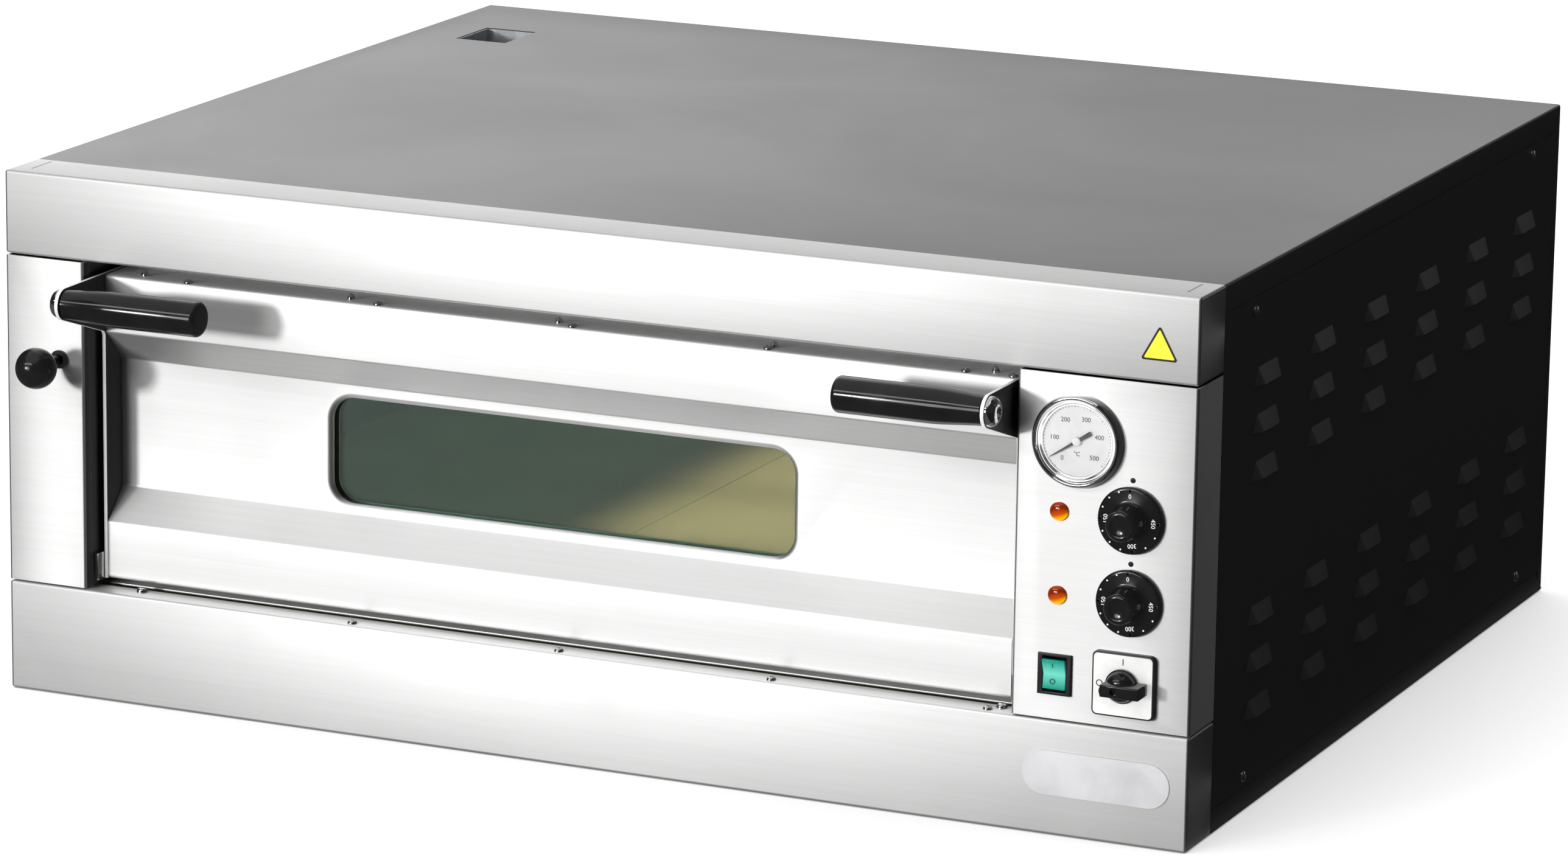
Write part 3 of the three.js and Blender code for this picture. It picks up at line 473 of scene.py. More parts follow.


# %% [markdown]
# Lenses and glass: the coloured lenses let a little light through and keep a glossy skin; the amber ones
# also carry a painted highlight and glow on one side. The window glass is clear with a faint green cast,
# as thick toughened panes have.

# %% Lenses and glass
def glass_finish(name, tint, dim=1.0, specular=0.5):
    """Clear glass. Rays from the lights pass straight through, weakened by dim, and light what is behind."""
    finish = Finish(name, tint, 0.0, Transmission_Weight=1.0, IOR=1.45, Specular_IOR_Level=specular)
    finish.rough(finish.haze(9.0), 0.0, 0.02)
    tree = finish.tree
    passing = add(tree, "ShaderNodeBsdfTransparent", {"Color": (*(c * dim for c in tint), 1)}).outputs[0]
    shadow = add(tree, "ShaderNodeLightPath").outputs["Is Shadow Ray"]
    either = add(tree, "ShaderNodeMixShader", {"Fac": shadow, 1: finish.shader.outputs[0], 2: passing})
    output = next(node for node in tree.nodes if node.type == "OUTPUT_MATERIAL")
    tree.links.new(either.outputs[0], output.inputs["Surface"])
    return finish.material


def signal_lens(name, toward, *stops):
    """A domed lens with a painted highlight and glow: its colour, also used as its emission, runs from away
    to toward by the way it faces.
    """
    finish = Finish(name, stops[1][1], 0.06, Transmission_Weight=0.2, IOR=1.5, Coat_Weight=0.4,
                    Emission_Strength=0.25)
    tree = finish.tree
    side = add(tree, "ShaderNodeVectorMath", {0: surface_normal(tree), 1: toward}, operation="DOT_PRODUCT")
    shade = add(tree, "ShaderNodeValToRGB", {0: ramp(tree, side.outputs["Value"], -1, 1)})
    band = shade.color_ramp.elements
    while len(band) < len(stops):
        band.new(0.5)
    for element, (position, color) in zip(band, stops):
        element.position, element.color = position, (*color, 1)
    return finish.feed("Base Color", shade.outputs[0]).feed("Emission Color", shade.outputs[0]).material


def banded_lens(name, node, reach, deep, pale):
    """A translucent key, palest in a soft band across its middle."""
    finish = Finish(name, deep, 0.12, Transmission_Weight=0.1, IOR=1.5, Coat_Weight=0.5)
    tree = finish.tree
    height = add(tree, "ShaderNodeSeparateXYZ", {0: object_place(tree)}).outputs["Z"]
    away = calc(tree, "ABSOLUTE", calc(tree, "SUBTRACT", height, middle(node)[2] * MM))
    return finish.colors(ramp(tree, away, 0, reach * MM, 1, 0), deep, pale).material


# The amber lens is yellowest and glows most where it faces down, right and forward: a painted highlight and
# glow.
amber_lens = signal_lens("lens_amber_painted_glow", (0.3, -0.1, -0.95), (0.2, (0.30, 0.03, 0.0)),
                         (0.45, (0.16, 0.012, 0.0)), (0.62, (0.50, 0.07, 0.0)), (0.8, (1.0, 0.50, 0.0)))
green_lens = banded_lens("lens_green", "rocker_key", 11, (0.0, 0.27, 0.19), (0.16, 0.66, 0.53))
window_glass = glass_finish("window_glass", (0.64, 0.75, 0.70), dim=0.42, specular=0.3)
clear_glass = glass_finish("clear_glass", (0.97, 0.97, 0.97))


# %% Stone, wool and rope
def stone_finish():
    finish = Finish("fireclay", (0.55, 0.47, 0.30), 0.95)
    finish.colors(finish.noise(9.0, 6.0), (0.40, 0.33, 0.20), (0.66, 0.58, 0.40))
    return finish.pebbled(420.0, 0.6, 0.6).material


def wool_finish(name, low, high, stretch):
    finish = Finish(name, low, 1.0, Sheen_Weight=0.3)
    strands = finish.noise(1.0, 6.0, stretch)
    return finish.colors(strands, low, high).bump(strands, 0.8, 2.0).material


fireclay = stone_finish()
mineral_wool = wool_finish("mineral_wool", (0.32, 0.26, 0.10), (0.66, 0.58, 0.34), (60.0, 60.0, 500.0))
seal_rope = wool_finish("seal_rope", (0.22, 0.21, 0.19), (0.52, 0.50, 0.46), (420.0, 420.0, 420.0))
print("materials:", len(bpy.data.materials))

# %% [markdown]
# ## Making pieces
# Every new piece ends the same way: its mesh gets a material, it rides on a CAD body, and it says
# which CAD node it stands for, which is then hidden.


# %% Piece helpers
def settle(piece, body, slot, *replaced):
    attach(piece, body)
    if replaced:
        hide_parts(*replaced)
    return piece


def smooth_by_angle(mesh, degrees=35):
    """Smooth shading with sharp edges kept where faces meet at more than this angle."""
    limit = math.radians(degrees)
    shape = bmesh.new()
    shape.from_mesh(mesh)
    for face in shape.faces:
        face.smooth = True
    for edge in shape.edges:
        edge.smooth = len(edge.link_faces) == 2 and edge.calc_face_angle(0) < limit
    shape.to_mesh(mesh)
    shape.free()


def piece_from(shape, name, material=None, degrees=35):
    """Turns a bmesh in metres into a finished object at the origin."""
    mesh = bpy.data.meshes.new(name)
    shape.to_mesh(mesh)
    shape.free()
    if material:
        mesh.materials.append(material)
    smooth_by_angle(mesh, degrees)
    return new_object(name, mesh)


def apply_modifiers(piece):
    """Replaces the piece's mesh by its evaluated mesh and removes the modifiers."""
    graph = bpy.context.evaluated_depsgraph_get()
    mesh = bpy.data.meshes.new_from_object(piece.evaluated_get(graph))
    piece.modifiers.clear()
    old = piece.data
    piece.data = mesh
    bpy.data.meshes.remove(old)
    return piece


def thickened(piece, thickness, even=True):
    """Gives a skin its thickness, inwards."""
    wall = piece.modifiers.new("sheet", "SOLIDIFY")
    wall.thickness = thickness * MM
    wall.offset = -1
    wall.use_even_offset = even
    return apply_modifiers(piece)


def join_into(piece, *others):
    """Adds the meshes of other objects, which are then removed."""
    shape = bmesh.new()
    shape.from_mesh(piece.data)
    for other in others:
        shape.from_mesh(other.data)
        bpy.data.objects.remove(other)
    shape.to_mesh(piece.data)
    shape.free()
    return piece


def only_material(piece, material):
    mesh = piece.data
    mesh.materials.clear()
    mesh.materials.append(material)
    mesh.polygons.foreach_set("material_index", [0] * len(mesh.polygons))
    return piece


def second_finish(piece, material, chosen):
    """Gives another material to the faces that the function picks, by normal and centre in metres."""
    piece.data.materials.append(material)
    for face in piece.data.polygons:
        if chosen(face.normal, face.center):
            face.material_index = len(piece.data.materials) - 1
    return piece


def faces_aside(normal, centre):
    return abs(normal.x) > 0.9


# %% Shape helpers
def box_shape(x0, x1, y0, y1, z0, z1):
    shape = bmesh.new()
    bmesh.ops.create_cube(shape, size=1)
    size = Matrix.Diagonal(((x1 - x0) * MM, (y1 - y0) * MM, (z1 - z0) * MM, 1))
    centre = at((x0 + x1) / 2, (y0 + y1) / 2, (z0 + z1) / 2)
    bmesh.ops.transform(shape, matrix=Matrix.Translation(centre) @ size, verts=shape.verts)
    return shape


def along(axis, a, b, d):
    """The point at distance d along 'x' (a, b are y, z) or along 'y' (a, b are x, z)."""
    return at(d, a, b) if axis == "x" else at(a, d, b)


def bridge(shape, rings):
    """Faces between each closed ring and the next, all turned outwards. A ring of one point is a pole."""
    for one, two in zip(rings, rings[1:]):
        steps = max(len(one), len(two))
        for i in range(steps):
            j = (i + 1) % steps
            corners = dict.fromkeys((one[i % len(one)], one[j % len(one)],
                                     two[j % len(two)], two[i % len(two)]))
            if len(corners) > 2:
                shape.faces.new(list(corners))
    bmesh.ops.recalc_face_normals(shape, faces=shape.faces)
    return shape


def prism_shape(axis, outline, start, end):
    """A prism along 'x' (outline in y, z) or 'y' (outline in x, z)."""
    shape = bmesh.new()
    rings = [[shape.verts.new(along(axis, a, b, d)) for a, b in outline] for d in (start, end)]
    shape.faces.new(rings[0])
    shape.faces.new(rings[1][::-1])
    return bridge(shape, rings)


def ease(shape, edges, width, segments=2, clamp=False):
    """Rounds edges by a small bevel."""
    bmesh.ops.bevel(shape, geom=edges, offset=width * MM, segments=segments, profile=0.5, affect="EDGES",
                    clamp_overlap=clamp)


def cut_away(piece, *shapes):
    """Takes the given shapes out of the piece."""
    for shape in shapes:
        cutter = piece_from(shape, "cutter")
        tool = piece.modifiers.new("cut", "BOOLEAN")
        tool.operation = "DIFFERENCE"
        tool.solver = "EXACT"
        tool.object = cutter
        apply_modifiers(piece)
        bpy.data.objects.remove(cutter)
    smooth_by_angle(piece.data)
    return piece


def arc_points(cx, cy, r, start, end, steps, tall=None):
    """Points of an arc, or of an oval with another radius upwards; angles in degrees."""
    tall = r if tall is None else tall
    angles = [math.radians(start + (end - start) * i / steps) for i in range(steps + 1)]
    return [(cx + r * math.cos(a), cy + tall * math.sin(a)) for a in angles]


def rounded_outline(cx, cy, w, h, r, steps=8):
    x, y = w / 2 - r, h / 2 - r
    corners = [(x, y, 0), (-x, y, 90), (-x, -y, 180), (x, -y, 270)]
    return [p for dx, dy, a in corners for p in arc_points(cx + dx, cy + dy, r, a, a + 90, steps)]


# %% [markdown]
# ## Folded sheet
# The casing is sheet metal bent on a press. A solid box with bevelled edges would have no inside and
# the wrong edge at its open sides. Instead the box's outer faces are kept as a skin, the side it opens
# to is deleted, the remaining edges are rounded to the bend's radius, and Solidify gives the skin its
# thickness inwards. The open edges then show the sheet as they do on the real covers.

# %% Folded sheet helper
SIDES = {"front": (0, -1, 0), "back": (0, 1, 0), "bottom": (0, 0, -1), "top": (0, 0, 1)}


def folded(name, node, opened, material, *cuts):
    """Folded sheet in a CAD node's place, open to the named sides."""
    low, high = span(node)
    shape = box_shape(low[0], high[0], low[1], high[1], low[2], high[2])
    gone = [f for f in shape.faces if any(f.normal.dot(SIDES[side]) > 0.9 for side in opened)]
    bmesh.ops.delete(shape, geom=gone, context="FACES")
    ease(shape, [e for e in shape.edges if len(e.link_faces) == 2], BEND, 5, clamp=True)
    return cut_away(thickened(piece_from(shape, name, material), SHEET), *cuts)


# %% [markdown]
# ### Casing
# The top cover laps over the sides by a short fold and has the flue's opening at the rear left. The
# rear panel and the base tray close the shell; the tray's side flange is cut off at an angle behind.

# %% Top cover, rear panel and base tray
cover_low, cover_high = span("top_cover")
flue_low, flue_high = span("flue_duct")
FLUE_PLAY = 0.3
flue_hole = box_shape(flue_low[0] - FLUE_PLAY, flue_high[0] + FLUE_PLAY, flue_low[1] - FLUE_PLAY,
                      flue_high[1] + FLUE_PLAY, cover_low[2], cover_high[2] + 5)
settle(folded("cover_top", "top_cover", ("front", "bottom"), powder_coat, flue_hole),
       "casing", "coated_steel", "top_cover")

rear_low, rear_high = span("rear_panel")
gland = front_place("cable_gland")
gland_hole = prism_shape("y", arc_points(*gland, 13, 0, 350, 35), rear_high[1] - 6, rear_high[1] + 6)
cut_line = [(rear_low[1] - 2, -2), (rear_high[1] + 2, -2), (rear_high[1] + 2, rear_low[2] - 1.2),
            (rear_low[1] - 2, rear_low[2] + rear_high[1] - rear_low[1] + 2.8)]
rear_corner = prism_shape("x", cut_line, rear_low[0] - 2, rear_high[0] + 2)
settle(folded("cover_rear", "rear_panel", ("front", "top", "bottom"), powder_coat, gland_hole, rear_corner),
       "casing", "coated_steel", "rear_panel")

(tray_left, _, _), (tray_right, tray_back, tray_top) = span("base_tray")
TRAY_CUT = 17
cut_line = [(tray_back - TRAY_CUT, tray_top), (tray_back + 1, tray_top - TRAY_CUT - 1),
            (tray_back + 1, tray_top + 2), (tray_back - TRAY_CUT, tray_top + 2)]
tray_corner = prism_shape("x", cut_line, tray_left - 2, tray_right + 2)
settle(folded("tray_base", "base_tray", ("front", "back", "top"), powder_coat, tray_corner),
       "casing", "coated_steel", "base_tray")
print("casing shells: 3")

# %% [markdown]
# ### Copies by Geometry Nodes
# Vents, screw heads, dial marks and heating rods repeat one shape along a rule, so node trees make
# them. Every tree has named inputs and ends alike: Realize Instances, then Set Material. The result is
# kept as a plain mesh.


# %% Tree helpers
def geometry_tree(name, **inputs):
    """A new tree with these inputs and a material. Returns the tree and its inputs."""
    tree = bpy.data.node_groups.new(name, "GeometryNodeTree")
    for label, kind in (*inputs.items(), ("Material", "Material")):
        tree.interface.new_socket(label, in_out="INPUT", socket_type="NodeSocket" + kind)
    tree.interface.new_socket("Geometry", in_out="OUTPUT", socket_type="NodeSocketGeometry")
    return tree, tree.nodes.new("NodeGroupInput").outputs


def copied(tree, original, points, rotation):
    info = add(tree, "GeometryNodeObjectInfo", {"Object": original})
    copies = {"Points": points, "Instance": info.outputs["Geometry"], "Rotation": rotation}
    return add(tree, "GeometryNodeInstanceOnPoints", copies).outputs[0]


def turned_to(tree, direction, axis):
    return add(tree, "FunctionNodeAlignRotationToVector", {"Vector": direction}, axis=axis).outputs[0]


def handed_out(tree, given, geometry):
    joined = add(tree, "GeometryNodeRealizeInstances", {0: geometry}).outputs[0]
    paint = add(tree, "GeometryNodeSetMaterial", {"Geometry": joined, "Material": given["Material"]})
    add(tree, "NodeGroupOutput", {0: paint.outputs[0]})
    return tree


def grown(thing, tree, **values):
    """Runs a tree on an object, its inputs set by their sockets' identifiers, and keeps the mesh."""
    step = thing.modifiers.new("nodes", "NODES")
    step.node_group = tree
    for item in tree.interface.items_tree:
        if item.item_type == "SOCKET" and item.in_out == "INPUT" and item.name in values:
            step[item.identifier] = values[item.name]
    return only_material(apply_modifiers(thing), values["Material"])


def points_object(name, points, edges=()):
    mesh = bpy.data.meshes.new(name)
    mesh.from_pydata([tuple(p) for p in points], edges, [])
    return new_object(name, mesh)


# %% [markdown]
# Each side panel is pressed with rows of hooded vents. All hoods are alike and sit on a regular grid,
# so one hood is modelled and placed on every point of the grid.

# %% One louvre hood
def louvre_hood(foot, top, edge, height, proud):
    """A pressed hood on the panel x = 0, open below: its lengths on the panel, on top and along the lip."""
    corners = {"foot": (0, foot / 2, 0), "top": (0, top / 2, height), "lip": (proud, edge / 2, 0)}
    shape = bmesh.new()
    point = {(name, end): shape.verts.new(Vector((x, end * y, z)) * MM)
             for name, (x, y, z) in corners.items() for end in (-1, 1)}
    shape.faces.new([point[key] for key in (("top", -1), ("lip", -1), ("lip", 1), ("top", 1))])
    for end in (-1, 1):
        cap = [point["top", end], point["foot", end], point["lip", end]]
        shape.faces.new(cap if end < 0 else cap[::-1])
    ease(shape, [e for e in shape.edges if len(e.link_faces) == 2], 1.6, 3)
    hood = thickened(piece_from(shape, "louvre_hood", powder_coat, degrees=50), 0.9, even=False)
    smooth_by_angle(hood.data, 50)
    return hood


# %% Side panels
def louvre_tree():
    tree, given = geometry_tree("louvre rows", Geometry="Geometry", Hood="Object", Turn="Float")
    turn = add(tree, "ShaderNodeCombineXYZ", {"Z": given["Turn"]}).outputs[0]
    return handed_out(tree, given, copied(tree, given["Hood"], given["Geometry"], turn))


FIRST_LOUVRE, LOUVRE_PITCH, LOUVRE_COUNT = 142.5, 120, 6
LOUVRE_ROWS = (71, 107, 142.5, 252.5, 288, 323.5)
hood = louvre_hood(foot=56, top=40, edge=33, height=13, proud=4.9)
louvres = louvre_tree()
for side, name in ((1, "right"), (-1, "left")):
    low, high = span("side_panel_" + name)
    outer = side * max(abs(cover_low[0]), cover_high[0])
    plate = box_shape(*sorted((outer - side * SHEET, outer)), low[1], high[1], low[2], high[2])
    spots = points_object("louvre_spots", [at(outer, FIRST_LOUVRE + i * LOUVRE_PITCH, z)
                                           for z in LOUVRE_ROWS for i in range(LOUVRE_COUNT)])
    hoods = grown(spots, louvres, Hood=hood, Turn=0.0 if side > 0 else math.pi, Material=powder_coat)
    settle(join_into(piece_from(plate, "panel_" + name, powder_coat), hoods),
           "casing", "coated_steel", "side_panel_" + name)
bpy.data.objects.remove(hood)
print("louvres per side:", len(LOUVRE_ROWS) * LOUVRE_COUNT)

# %% [markdown]
# ### Steel front
# The front is four folded pieces with open seams between them. Each wraps round to the sides and top
# of the casing. The two columns are channels: a side, a front and a short flange into the door's
# recess, so they open at the top, the bottom and the back.

# %% Fascias and columns
RETURN = 10  # depth of the columns' flange beside the door
SHELF_RETURN = 21  # depth of the shelf in front of the door
HALF_WIDTH = span("top_fascia")[1][0]
recess_left, recess_right = span("left_column")[1][0], span("control_panel")[0][0]
shelf_back, shelf_z = span("bottom_fascia")[1][1:]

settle(folded("front_top", "top_fascia", ("back",), steel_along), "casing", "brushed_steel", "top_fascia")
shelf_edge = box_shape(recess_left - 2.5, recess_right + 2.5, SHELF_RETURN, shelf_back + 1,
                       shelf_z - 5, shelf_z + 1)
settle(folded("front_bottom", "bottom_fascia", ("back",), steel_along, shelf_edge),
       "casing", "brushed_steel", "bottom_fascia")


def round_hole(centre, r, front=-5, back=8):
    return prism_shape("y", arc_points(*centre, r, 0, 352.5, 47), front, back)


def column(name, node, inner, *holes):
    low, high = span(node)
    flange = box_shape(inner - 2, inner + 2, RETURN, high[1] + 1, low[2] - 1, high[2] + 1)
    piece = folded(name, node, ("back", "top", "bottom"), steel_along, flange, *holes)
    # The column's flange beside the door takes the dark upright steel: painted shade on its side faces.
    second_finish(piece, steel_upright_painted_dark, lambda n, c: abs(n.x) > 0.9 and abs(c.x - inner * MM) < 0.005)
    return settle(piece, "casing", "brushed_steel", node)


damper, dial, switch = (front_place(node) for node in ("damper_knob", "thermometer_case", "main_switch"))
lamps = {level: front_place("signal_lamp_" + level) for level in ("upper", "lower")}
knob_x = front_place("thermostat_knob_upper")[0]
knobs = {level: (knob_x, front_place("thermostat_knob_" + level)[1]) for level in ("upper", "lower")}
rocker_x, rocker_z = front_place("rocker_frame")
switch_x, switch_z = switch

column("front_left", "left_column", recess_left, round_hole(damper, 5.5))
column("front_controls", "control_panel", recess_right, round_hole(dial, 30.3),
       *(round_hole(lamp, 5.6) for lamp in lamps.values()), *(round_hole(spot, 5) for spot in knobs.values()),
       round_hole(switch, 12),
       box_shape(rocker_x - 11.3, rocker_x + 11.3, -5, 8, rocker_z - 14.9, rocker_z + 14.9))
print("front pieces: 4")


# %% Corner seams
SEAM_WIDTH, SEAM_FROM, SEAM_TO, SEAM_INSET = 0.8, 14, 44, 16
# Thin black strips laid on the top fascia at both corners: painted shade standing for the dark inside of the
# corner slits.
seam_top = span("top_fascia")[1][2]
seams = [piece_from(box_shape(x - SEAM_WIDTH / 2, x + SEAM_WIDTH / 2, SEAM_FROM, SEAM_TO, seam_top - 0.2,
                              seam_top + 0.06), "corner_seams", black_print)
         for x in (SEAM_INSET - HALF_WIDTH, HALF_WIDTH - SEAM_INSET)]
settle(join_into(*seams), "casing", "black_plastic")

# %% [markdown]
# The door's recess is one welded tray. Its CAD mesh already has the right shape, so a copy of it is
# merged, its flat faces are joined, and its edges are eased by a small bevel. The rocker switch is
# made by the same helper.

# %% Softened copies
def softened(node, name, material, width, segments=2):
    shape = bmesh.new()
    shape.from_mesh(nodes[node].data)
    bmesh.ops.remove_doubles(shape, verts=shape.verts, dist=0.00002)
    bmesh.ops.dissolve_limit(shape, angle_limit=math.radians(3), verts=shape.verts, edges=shape.edges)
    sharp = [e for e in shape.edges if len(e.link_faces) == 2 and e.calc_face_angle(0) > math.radians(40)]
    ease(shape, sharp, width, segments, clamp=True)
    bmesh.ops.triangulate(shape, faces=[f for f in shape.faces if len(f.verts) > 4])
    return piece_from(shape, name, material)


# The recess walls that face sideways take the dark upright steel: painted shade.
tray = second_finish(softened("mouth_frame", "recess_tray", steel_along, 0.5), steel_upright_painted_dark, faces_aside)
settle(tray, "casing", "brushed_steel", "mouth_frame")
BRACKET_FRONT, BRACKET_BACK, BRACKET_FOOT, BRACKET_TOP = 12, 46, 92, 113.5
for side in ("left", "right"):
    (left, _, _), (right, _, _) = span("hinge_bracket_" + side)
    block = box_shape(left, right, BRACKET_FRONT, BRACKET_BACK, BRACKET_FOOT, BRACKET_TOP)
    ease(block, block.edges, 0.5, 3)
    settle(piece_from(block, "bracket_" + side, screw_steel), "casing", "brushed_steel",
           "hinge_bracket_" + side)

# %% [markdown]
# ### Turned pieces
# Knobs, grips, pins and lenses are bodies of revolution. A profile of radius and distance along the
# axis is swept round in 64 steps; points on the axis become a single pole, so the mesh is closed.

# %% Turning helper
TURN_ANGLES = [2 * math.pi * i / 64 for i in range(64)]


def turned(name, profile, axis, centre, material, degrees=35):
    """A closed turned piece. `axis` is 'x' or 'y'; `centre` holds the other two coordinates."""
    a, b = centre
    shape = bmesh.new()
    rings = []
    for r, d in profile:
        ring = [(0, 0)] if r < 1e-6 else [(r * math.cos(t), r * math.sin(t)) for t in TURN_ANGLES]
        rings.append([shape.verts.new(along(axis, a + u, b + v, d)) for u, v in ring])
    if len(rings[0]) > 1 and len(rings[-1]) > 1:
        rings.append(rings[0])
    return piece_from(bridge(shape, rings), name, material, degrees)


# %% [markdown]
# ### Door
# The door's skin is one sheet folded along its length: two flat bands, two slopes and a sunk panel.
# Its section is drawn once with an arc at every fold, stretched along X, and given its thickness. The
# window's edge is rolled inwards, which is a separate ring lofted round the same rounded outline.

# %% Door skin
(skin_left, front, skin_foot), (skin_right, back, skin_top) = span("door_front_skin")
pane_front = span("window_pane_outer")[0][1]
WINDOW_W, WINDOW_H, WINDOW_R = 386, 83, 18
BAND, SLOPE, SUNK, FOLD_RADIUS = 45, 24.6, 43.7, 3
ROLL, WALL = 4, 1.2  # radius and thickness of the window's rolled edge
STRIPS = 12


def filleted(points, radius, steps=6):
    """The open line through the points with every inner corner replaced by an arc."""
    line = [points[0]]
    for before, corner, after in zip(points, points[1:], points[2:]):
        a, b, c = Vector(before), Vector(corner), Vector(after)
        u, v = (a - b).normalized(), (c - b).normalized()
        half = u.angle(v) / 2
        reach = radius / math.tan(half)
        centre = b + (u + v).normalized() * radius / math.sin(half)
        start, end = b + u * reach - centre, b + v * reach - centre
        turn = start.angle_signed(end)
        for i in range(steps + 1):
            angle = -turn * i / steps
            cos, sin = math.cos(angle), math.sin(angle)
            turned_by = Vector((start.x * cos - start.y * sin, start.x * sin + start.y * cos))
            line.append(tuple(centre + turned_by))
    line.append(points[-1])
    return line


skin_line = filleted([
    (back, skin_top), (front, skin_top), (front, skin_top - BAND), (SUNK, skin_top - BAND - SLOPE),
    (SUNK, skin_foot + BAND + SLOPE), (front, skin_foot + BAND), (front, skin_foot), (back, skin_foot)],
    FOLD_RADIUS)
skin = bmesh.new()
rows = [[skin.verts.new(at(skin_left + (skin_right - skin_left) * i / STRIPS, y, z)) for y, z in skin_line]
        for i in range(STRIPS + 1)]
for one, two in zip(rows, rows[1:]):
    for i in range(len(skin_line) - 1):
        skin.faces.new((one[i], one[i + 1], two[i + 1], two[i]))
skin.faces.ensure_lookup_table()
skin.normal_update()
if skin.faces[len(skin_line) // 2].normal.y > 0:
    bmesh.ops.reverse_faces(skin, faces=skin.faces)
door_skin = thickened(piece_from(skin, "door_skin", steel_along), SHEET)


def window_outline(grow):
    return rounded_outline(*front_place("window_pane_outer"), WINDOW_W + 2 * grow, WINDOW_H + 2 * grow,
                           WINDOW_R + grow, steps=12)


cut_away(door_skin, prism_shape("y", window_outline(ROLL), front, pane_front))


# %% The window's rolled edge
def lofted_ring(section, outline_at):
    """A closed ring: each (grow, y) of the section becomes a loop of the outline grown by that much."""
    shape = bmesh.new()
    loops = [[shape.verts.new(at(x, y, z)) for x, z in outline_at(grow)] for grow, y in section]
    return bridge(shape, [*loops, loops[0]])


roll_depth = min(ROLL, pane_front - 0.3 - SUNK)
outer_roll = arc_points(ROLL, SUNK + roll_depth, ROLL, -90, -180, 6, roll_depth)
inner_roll = arc_points(ROLL, SUNK + roll_depth, ROLL - WALL, -180, -90, 6, roll_depth - WALL)
join_into(door_skin, piece_from(lofted_ring(outer_roll + inner_roll, window_outline), "rolled", steel_along))
second_finish(door_skin, steel_backward, lambda n, c: n.z > 0.95 and c.z > (skin_top - 1) * MM)
smooth_by_angle(door_skin.data)
settle(door_skin, "door", "brushed_steel", "door_front_skin")
print("door skin faces:", len(door_skin.data.polygons))

# %% [markdown]
# The end plates are thick plates cut to shape, with the arm that carries the handle. Their cut edges
# are ground and shine, which the small bevel catches. The arm's end is a round about the handle's
# axis, and its lower edge is tangent to that round.

# %% End plates
handle_y, handle_z = handle = middle("handle_left")[1:]
ARM_RADIUS, ARM_ROOT_Z = 12.5, 291.5
DOOR_SIDES = (("left", 1), ("right", -1))  # each side, and the way along x to the oven's middle
door_z0, plate_back = span("door_end_plate_left")[0][2], span("door_end_plate_left")[1][1]
reach = Vector((front - handle_y, ARM_ROOT_Z - handle_z))
direction = math.degrees(math.atan2(reach.y, reach.x)) % 360
tangent = direction - math.degrees(math.acos(ARM_RADIUS / reach.length))
plate_line = [
    (plate_back, door_z0), *arc_points(plate_back - 4, handle_z + ARM_RADIUS - 4, 4, 0, 90, 5),
    *arc_points(handle_y, handle_z, ARM_RADIUS, 90, tangent, 24),
    *arc_points(front - 5.2, ARM_ROOT_Z - 6.5, 5.2, 62, 0, 6), (front, door_z0)]
for side, _ in DOOR_SIDES:
    low, high = span("door_end_plate_" + side)
    shape = prism_shape("x", plate_line, low[0], high[0])
    ease(shape, [e for e in shape.edges if abs(e.verts[0].co.x - e.verts[1].co.x) < 1e-6], 0.45)
    # The end plates' side faces take the dark upright steel: painted shade.
    plate = second_finish(piece_from(shape, "door_end_" + side, steel_backward), steel_upright_painted_dark, faces_aside)
    settle(plate, "door", "brushed_steel", "door_end_plate_" + side)


# %% [markdown]
# The grips are moulded in glossy black, thinner where they meet the arm. Each is held by a domed
# screw with a hexagon socket through the arm. The hinge pins have a low rounded head. All three are
# turned about the x axis, so their lines are drawn from one end and mirrored for the other side.

# %% Grips, their screws and the hinge pins
GRIP_ROOT, GRIP_END, GRIP_ROUND = 11.15, 13.75, 4
PIN_HEAD = [(0, 0), (4.6, 0), (6.1, 0.5), (6.5, 1.2), (6.5, 2.5), (4, 2.5)]


def ends(node, inward):
    """The x of a node's outer end and of the end nearer the oven's middle."""
    (left, _, _), (right, _, _) = span(node)
    return (left, right) if inward > 0 else (right, left)


def swell(p, q, steps):
    """Points from p to q that leave and arrive gently."""
    shares = [i / steps for i in range(steps + 1)]
    return [(p[0] + (q[0] - p[0]) * (t * t * (3 - 2 * t) + t) / 2, p[1] + (q[1] - p[1]) * t)
            for t in shares]


def stepped(line, start, way):
    return [(r, start + way * d) for r, d in line]


for side, inward in DOOR_SIDES:
    root, end = ends("handle_" + side, inward)
    length = abs(end - root)
    line = [(0, 0), (GRIP_ROOT - 0.8, 0), (GRIP_ROOT, 0.9), *swell((GRIP_ROOT, 2), (GRIP_END, 40), 12),
            *arc_points(GRIP_END - GRIP_ROUND, length - GRIP_ROUND, GRIP_ROUND, 0, 90, 6), (0, length)]
    piece = turned("grip_" + side, stepped(line, root, inward), "x", handle, bakelite, degrees=40)
    settle(piece, "door", "bakelite", "handle_" + side)

    top, tip = ends("handle_screw_" + side, inward)
    length = abs(tip - top)
    line = [(0, 0), *arc_points(5.2, 6.6, 6.3, -90, 0, 9, 6.6), (11.5, 7.0), (4, 7.0), (4, length),
            (0, length)]
    piece = turned("grip_screw_" + side, stepped(line, top, inward), "x", handle, chrome)
    socket_ends = sorted((top - inward, top + 3.6 * inward))
    socket = prism_shape("x", arc_points(*handle, 4.6, 0, 300, 5), *socket_ends)
    settle(cut_away(piece, socket), "door", "chrome", "handle_screw_" + side)
for side, inward in DOOR_SIDES:
    start, head = ends("hinge_pin_" + side, inward)
    length = abs(head - start)
    line = [*PIN_HEAD, (4, length - 0.5), (3.5, length), (0, length)]
    piece = turned("pin_" + side, stepped(line, head, -inward), "x", middle("hinge_pin_" + side)[1:], chrome)
    settle(piece, "casing", "chrome", "hinge_pin_" + side)
